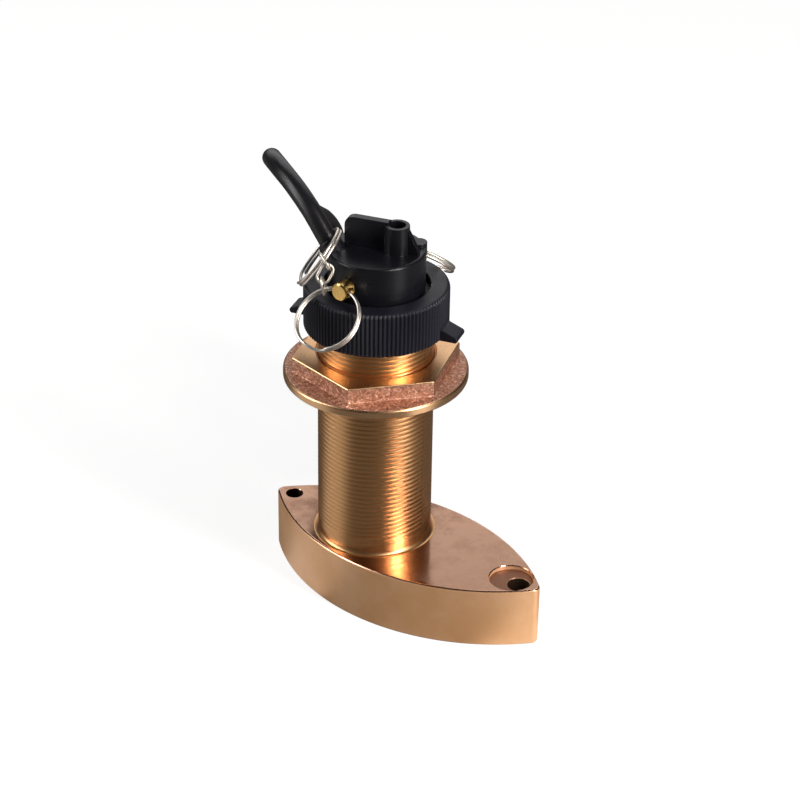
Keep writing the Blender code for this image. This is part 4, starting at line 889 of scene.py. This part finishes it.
head_plastic = moulding_finish("head_moulding", (0.003, 0.003, 0.005), (0.009, 0.009, 0.013), 0.27,
                               grain_scale=1000)
fit(softened_copy("insert_head", "head_moulding", 0.00035), head_plastic, ["insert_head"])
fit(softened_copy("cable_socket", "lead_boot", 0.0003), head_plastic, ["cable_socket"])


# Pins
# Turned brass retaining pins, pushed through the neck from either side, with an eye across the head for a
# split ring.
PIN_EYE = 0.0248
PIN_HEIGHT = (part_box("front_pin")[0][2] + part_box("front_pin")[1][2]) / 2
PIN_SHANK_START = 0.011
PIN_SHANK_RADIUS = 0.002
PIN_HEAD_START = 0.0213
PIN_HEAD_LENGTH = 0.0064
PIN_HEAD_RADIUS = 0.004
PIN_EDGE = 0.0006
PIN_BACK_EDGE = 0.0003
PIN_EYE_RADIUS = 0.0019
PIN_EYE_FLARE = 0.0009
PIN_EYE_CUT = 0.006
PIN_SIDES = 48
PIN_EYE_SIDES = 32


def moved(points, matrix):
    """Points taken through a 4 by 4 matrix."""
    table = np.array(matrix)
    return points @ table[:3, :3].T + table[:3, 3]


def make_pin(node, side):
    """Shank and chamfered head along Y, with an eye across the head whose mouths are flared."""
    end = PIN_HEAD_START + PIN_HEAD_LENGTH
    profile = [(PIN_SHANK_RADIUS, PIN_SHANK_START), (PIN_SHANK_RADIUS, PIN_HEAD_START)]
    profile += [(PIN_HEAD_RADIUS - PIN_BACK_EDGE, PIN_HEAD_START)]
    profile += [(PIN_HEAD_RADIUS, PIN_HEAD_START + PIN_BACK_EDGE)]
    profile += [(PIN_HEAD_RADIUS, end - PIN_EDGE), (PIN_HEAD_RADIUS - PIN_EDGE, end)]
    out = Matrix.Translation((STEM_X, 0.0, PIN_HEIGHT)) @ Matrix.Rotation(-side * math.pi / 2, 4, "X")
    pin = skin(f"{node}_brass", moved(turned(profile, PIN_SIDES), out))
    wide = PIN_EYE_RADIUS + PIN_EYE_FLARE
    throat = PIN_HEAD_RADIUS - PIN_EYE_FLARE
    eye = [(wide, -PIN_EYE_CUT), (wide, -PIN_HEAD_RADIUS), (PIN_EYE_RADIUS, -throat)]
    eye += [(PIN_EYE_RADIUS, throat), (wide, PIN_HEAD_RADIUS), (wide, PIN_EYE_CUT)]
    across = Matrix.Translation((STEM_X, side * PIN_EYE, PIN_HEIGHT)) @ Matrix.Rotation(math.pi / 2, 4, "Y")
    carve(pin, [skin("eye", moved(turned(eye, PIN_EYE_SIDES), across))])
    fit(pin, brass, [node])


make_pin("front_pin", -1)
make_pin("rear_pin", 1)


# Split rings
# Two turns of bright stainless wire side by side, with a short step from one turn to the other. One goes
# through each pin's eye, and a third hangs round the lead where it leaves the head.
WIRE_RADIUS = 0.000675
RING_RADIUS = 0.0142
RING_PITCH = 0.0015
RING_SIDES = 14
RING_POINTS_PER_TURN = 90
RING_STEP = math.radians(36)
RING_END_GAP = math.radians(8)
RING_STEP_PLACE = math.radians(200)
RING_LEAN = math.radians(50)
RING_EYE_OFFSET = 0.00028
SIDE_RING_PLACE = (-0.02048, -0.01349, 0.16316)
SIDE_RING_AZIMUTH = math.radians(26.0)
SIDE_RING_ELEVATION = math.radians(-35.6)


def ring_line():
    """Split ring's centreline in its own XZ plane: nearly two turns, whose side offset steps over once."""
    full = 4 * math.pi - RING_STEP - RING_END_GAP
    angle = np.linspace(0.0, full, int(RING_POINTS_PER_TURN * full / (2 * math.pi)) + 1)
    passed = np.clip((angle - (2 * math.pi - RING_STEP)) / RING_STEP, 0.0, 1.0)
    passed = passed * passed * (3 - 2 * passed)
    place = angle + RING_STEP_PLACE
    offset = -RING_PITCH * (passed - 0.5)
    return np.stack([RING_RADIUS * np.sin(place), offset, RING_RADIUS * np.cos(place)], axis=-1)


def pin_ring_matrix(side):
    """Frame of the ring through a pin's eye; side is -1 in front and 1 behind."""
    turn = Matrix.Rotation(0.0 if side < 0 else math.pi, 4, "Z") @ Matrix.Rotation(-RING_LEAN, 4, "X")
    eye = Matrix.Translation((STEM_X, side * PIN_EYE, PIN_HEIGHT)) @ turn
    return eye @ Matrix.Translation((0.0, 0.0, RING_EYE_OFFSET - RING_RADIUS))


def side_ring_matrix():
    """Frame of the ring round the lead: Y is its normal, Z runs up its slope."""
    level = math.cos(SIDE_RING_ELEVATION)
    normal = Vector((level * math.cos(SIDE_RING_AZIMUTH), level * math.sin(SIDE_RING_AZIMUTH),
                     math.sin(SIDE_RING_ELEVATION)))
    up = (UP - normal * normal.z).normalized()
    return aimed(normal.cross(up), normal, up, Vector(SIDE_RING_PLACE) + STEM_FOOT)


def steel_finish():
    """Drawn stainless wire: bright and a little warm, with fine marks and dull spots."""
    finish = Finish("drawn_steel", {"Metallic": 1.0})
    dull = finish.noise(500, 3.0)
    marks = finish.noise(4000, 2.0)
    finish.feed("Base Color", finish.mix(dull, (0.86, 0.80, 0.73, 1), (0.68, 0.62, 0.55, 1)))
    finish.feed("Roughness", 0.30 + 0.16 * dull)
    finish.relief(marks, 0.00002)
    return finish


steel = steel_finish()


def make_ring(node, matrix):
    """Wire ring with its two ends rounded off."""
    line = moved(ring_line(), matrix)
    reach = np.arange(len(line)) * np.linalg.norm(line[1] - line[0])
    end = np.minimum(reach, reach[::-1])
    radius = WIRE_RADIUS * np.sqrt(np.clip(1 - (1 - np.clip(end / WIRE_RADIUS, 0.15, 1.0)) ** 2, 0.0, 1.0))
    normal = np.array(matrix)[:3, 1]
    wire = skin(f"{node}_wire", tube_grid(line, radius, RING_SIDES, normal))
    fit(wire, steel, [node], sharp=60.0, even=False)


make_ring("front_ring", pin_ring_matrix(-1))
make_ring("rear_ring", pin_ring_matrix(1))
make_ring("side_ring", side_ring_matrix())


# Chain
# Three oval links of steel wire that tie the front pin's ring to the ring round the lead.
LINK_WIRE = 0.0006
LINK_HALF_LENGTH = 0.0042
LINK_HALF_WIDTH = 0.0026
LINK_SIDES = 12
LINK_ARC_POINTS = 19
CHAIN_SIDE_ANGLE = 1.0795
CHAIN_FRONT_ANGLE = -0.6056
CHAIN_JOINTS = ((-0.007445, -0.024723, 0.166645), (-0.008498, -0.027969, 0.161813))
CHAIN_ROLLS = (0.6135, 2.6120, 1.0943)
LINK_GAP = 0.0003


def on_ring(matrix, angle):
    """Point of a ring's wire, at an angle from the top of the ring's own frame."""
    return matrix @ Vector((RING_RADIUS * math.sin(angle), 0.0, RING_RADIUS * math.cos(angle)))


def make_link(node, centre, axis, roll):
    """Oval of wire: two half circles joined by straight runs, its long way along axis."""
    level = axis.cross(Vector((0, 1, 0))).normalized()
    wide = level * math.cos(roll) + axis.cross(level) * math.sin(roll)
    straight = LINK_HALF_LENGTH - LINK_HALF_WIDTH
    half = np.linspace(0.0, math.pi, LINK_ARC_POINTS)
    bend = LINK_HALF_WIDTH * np.column_stack([np.cos(half), np.zeros(LINK_ARC_POINTS), np.sin(half)])
    bend += [0.0, 0.0, straight]
    oval = np.concatenate([bend, -bend])
    matrix = aimed(wide, axis.cross(wide), axis, centre)
    grid = tube_grid(moved(oval, matrix), LINK_WIRE, LINK_SIDES, np.array(matrix)[:3, 1], closed=True)
    fit(skin(f"{node}_wire", grid, looped=True), steel, [node], sharp=60.0, even=False)


def make_chain():
    """Links on the side ring, between, and on the front ring, meeting at the two joints."""
    side_hold = on_ring(side_ring_matrix(), CHAIN_SIDE_ANGLE)
    front_hold = on_ring(pin_ring_matrix(-1), CHAIN_FRONT_ANGLE)
    upper, lower = (Vector(joint) + STEM_FOOT for joint in CHAIN_JOINTS)
    reach = LINK_HALF_LENGTH - LINK_WIRE - LINK_GAP / 2
    first = (upper - side_hold).normalized()
    last = (front_hold - lower).normalized()
    make_link("chain_link_1", upper - first * reach, first, CHAIN_ROLLS[0])
    make_link("chain_link_2", (upper + lower) / 2, (lower - upper).normalized(), CHAIN_ROLLS[1])
    make_link("chain_link_3", lower + last * reach, last, CHAIN_ROLLS[2])


make_chain()


# Insert and sensors
# Black plug in the stem's bore with its seals, the speed wheel on its steel pin, the potted depth element,
# the temperature stud and, inside, the speed sensor and the board.
insert_plastic = moulding_finish("insert_moulding", (0.010, 0.010, 0.012), (0.022, 0.021, 0.025), 0.42)
wheel_plastic = moulding_finish("wheel_moulding", (0.022, 0.022, 0.026), (0.040, 0.040, 0.045), 0.45)
seal_rubber = moulding_finish("seal_rubber", (0.012, 0.012, 0.012), (0.022, 0.022, 0.021), 0.62, 700, 0.00008)
fired_ceramic = moulding_finish("fired_ceramic", (0.55, 0.51, 0.42), (0.66, 0.62, 0.52), 0.55, 900, 0.00003)
board_lacquer = moulding_finish("board_lacquer", (0.02, 0.12, 0.05), (0.03, 0.17, 0.07), 0.30, 300, 0.00002)


def magnet_finish():
    """Nickel-plated magnet: dull grey metal with fine pits."""
    finish = Finish("magnet_plating", {"Metallic": 1.0})
    pits = finish.noise(2200, 3.0)
    finish.feed("Base Color", finish.mix(pits, (0.26, 0.26, 0.27, 1), (0.40, 0.40, 0.41, 1)))
    finish.feed("Roughness", 0.32 + 0.2 * pits)
    finish.relief(pits, 0.00003)
    return finish


plating = magnet_finish()
insert = softened_copy("insert_body", "insert_moulding", 0.0002, 2)
fit(insert, insert_plastic, ["insert_body"])
wheel = softened_copy("paddlewheel", "speed_wheel", 0.00015, 2)
fit(wheel, wheel_plastic, ["paddlewheel"])
for node in ("o_ring_lower", "o_ring_middle", "o_ring_upper", "acoustic_window"):
    dress(node, seal_rubber)
for node in ("wheel_magnet_1", "wheel_magnet_2", "wheel_magnet_3", "wheel_magnet_4"):
    dress(node, plating)
for node in ("element_backing", "speed_sensor"):
    dress(node, wheel_plastic)
dress("paddle_axle", steel)
dress("temperature_probe", brass)
dress("depth_element", fired_ceramic)
dress("circuit_board", board_lacquer)
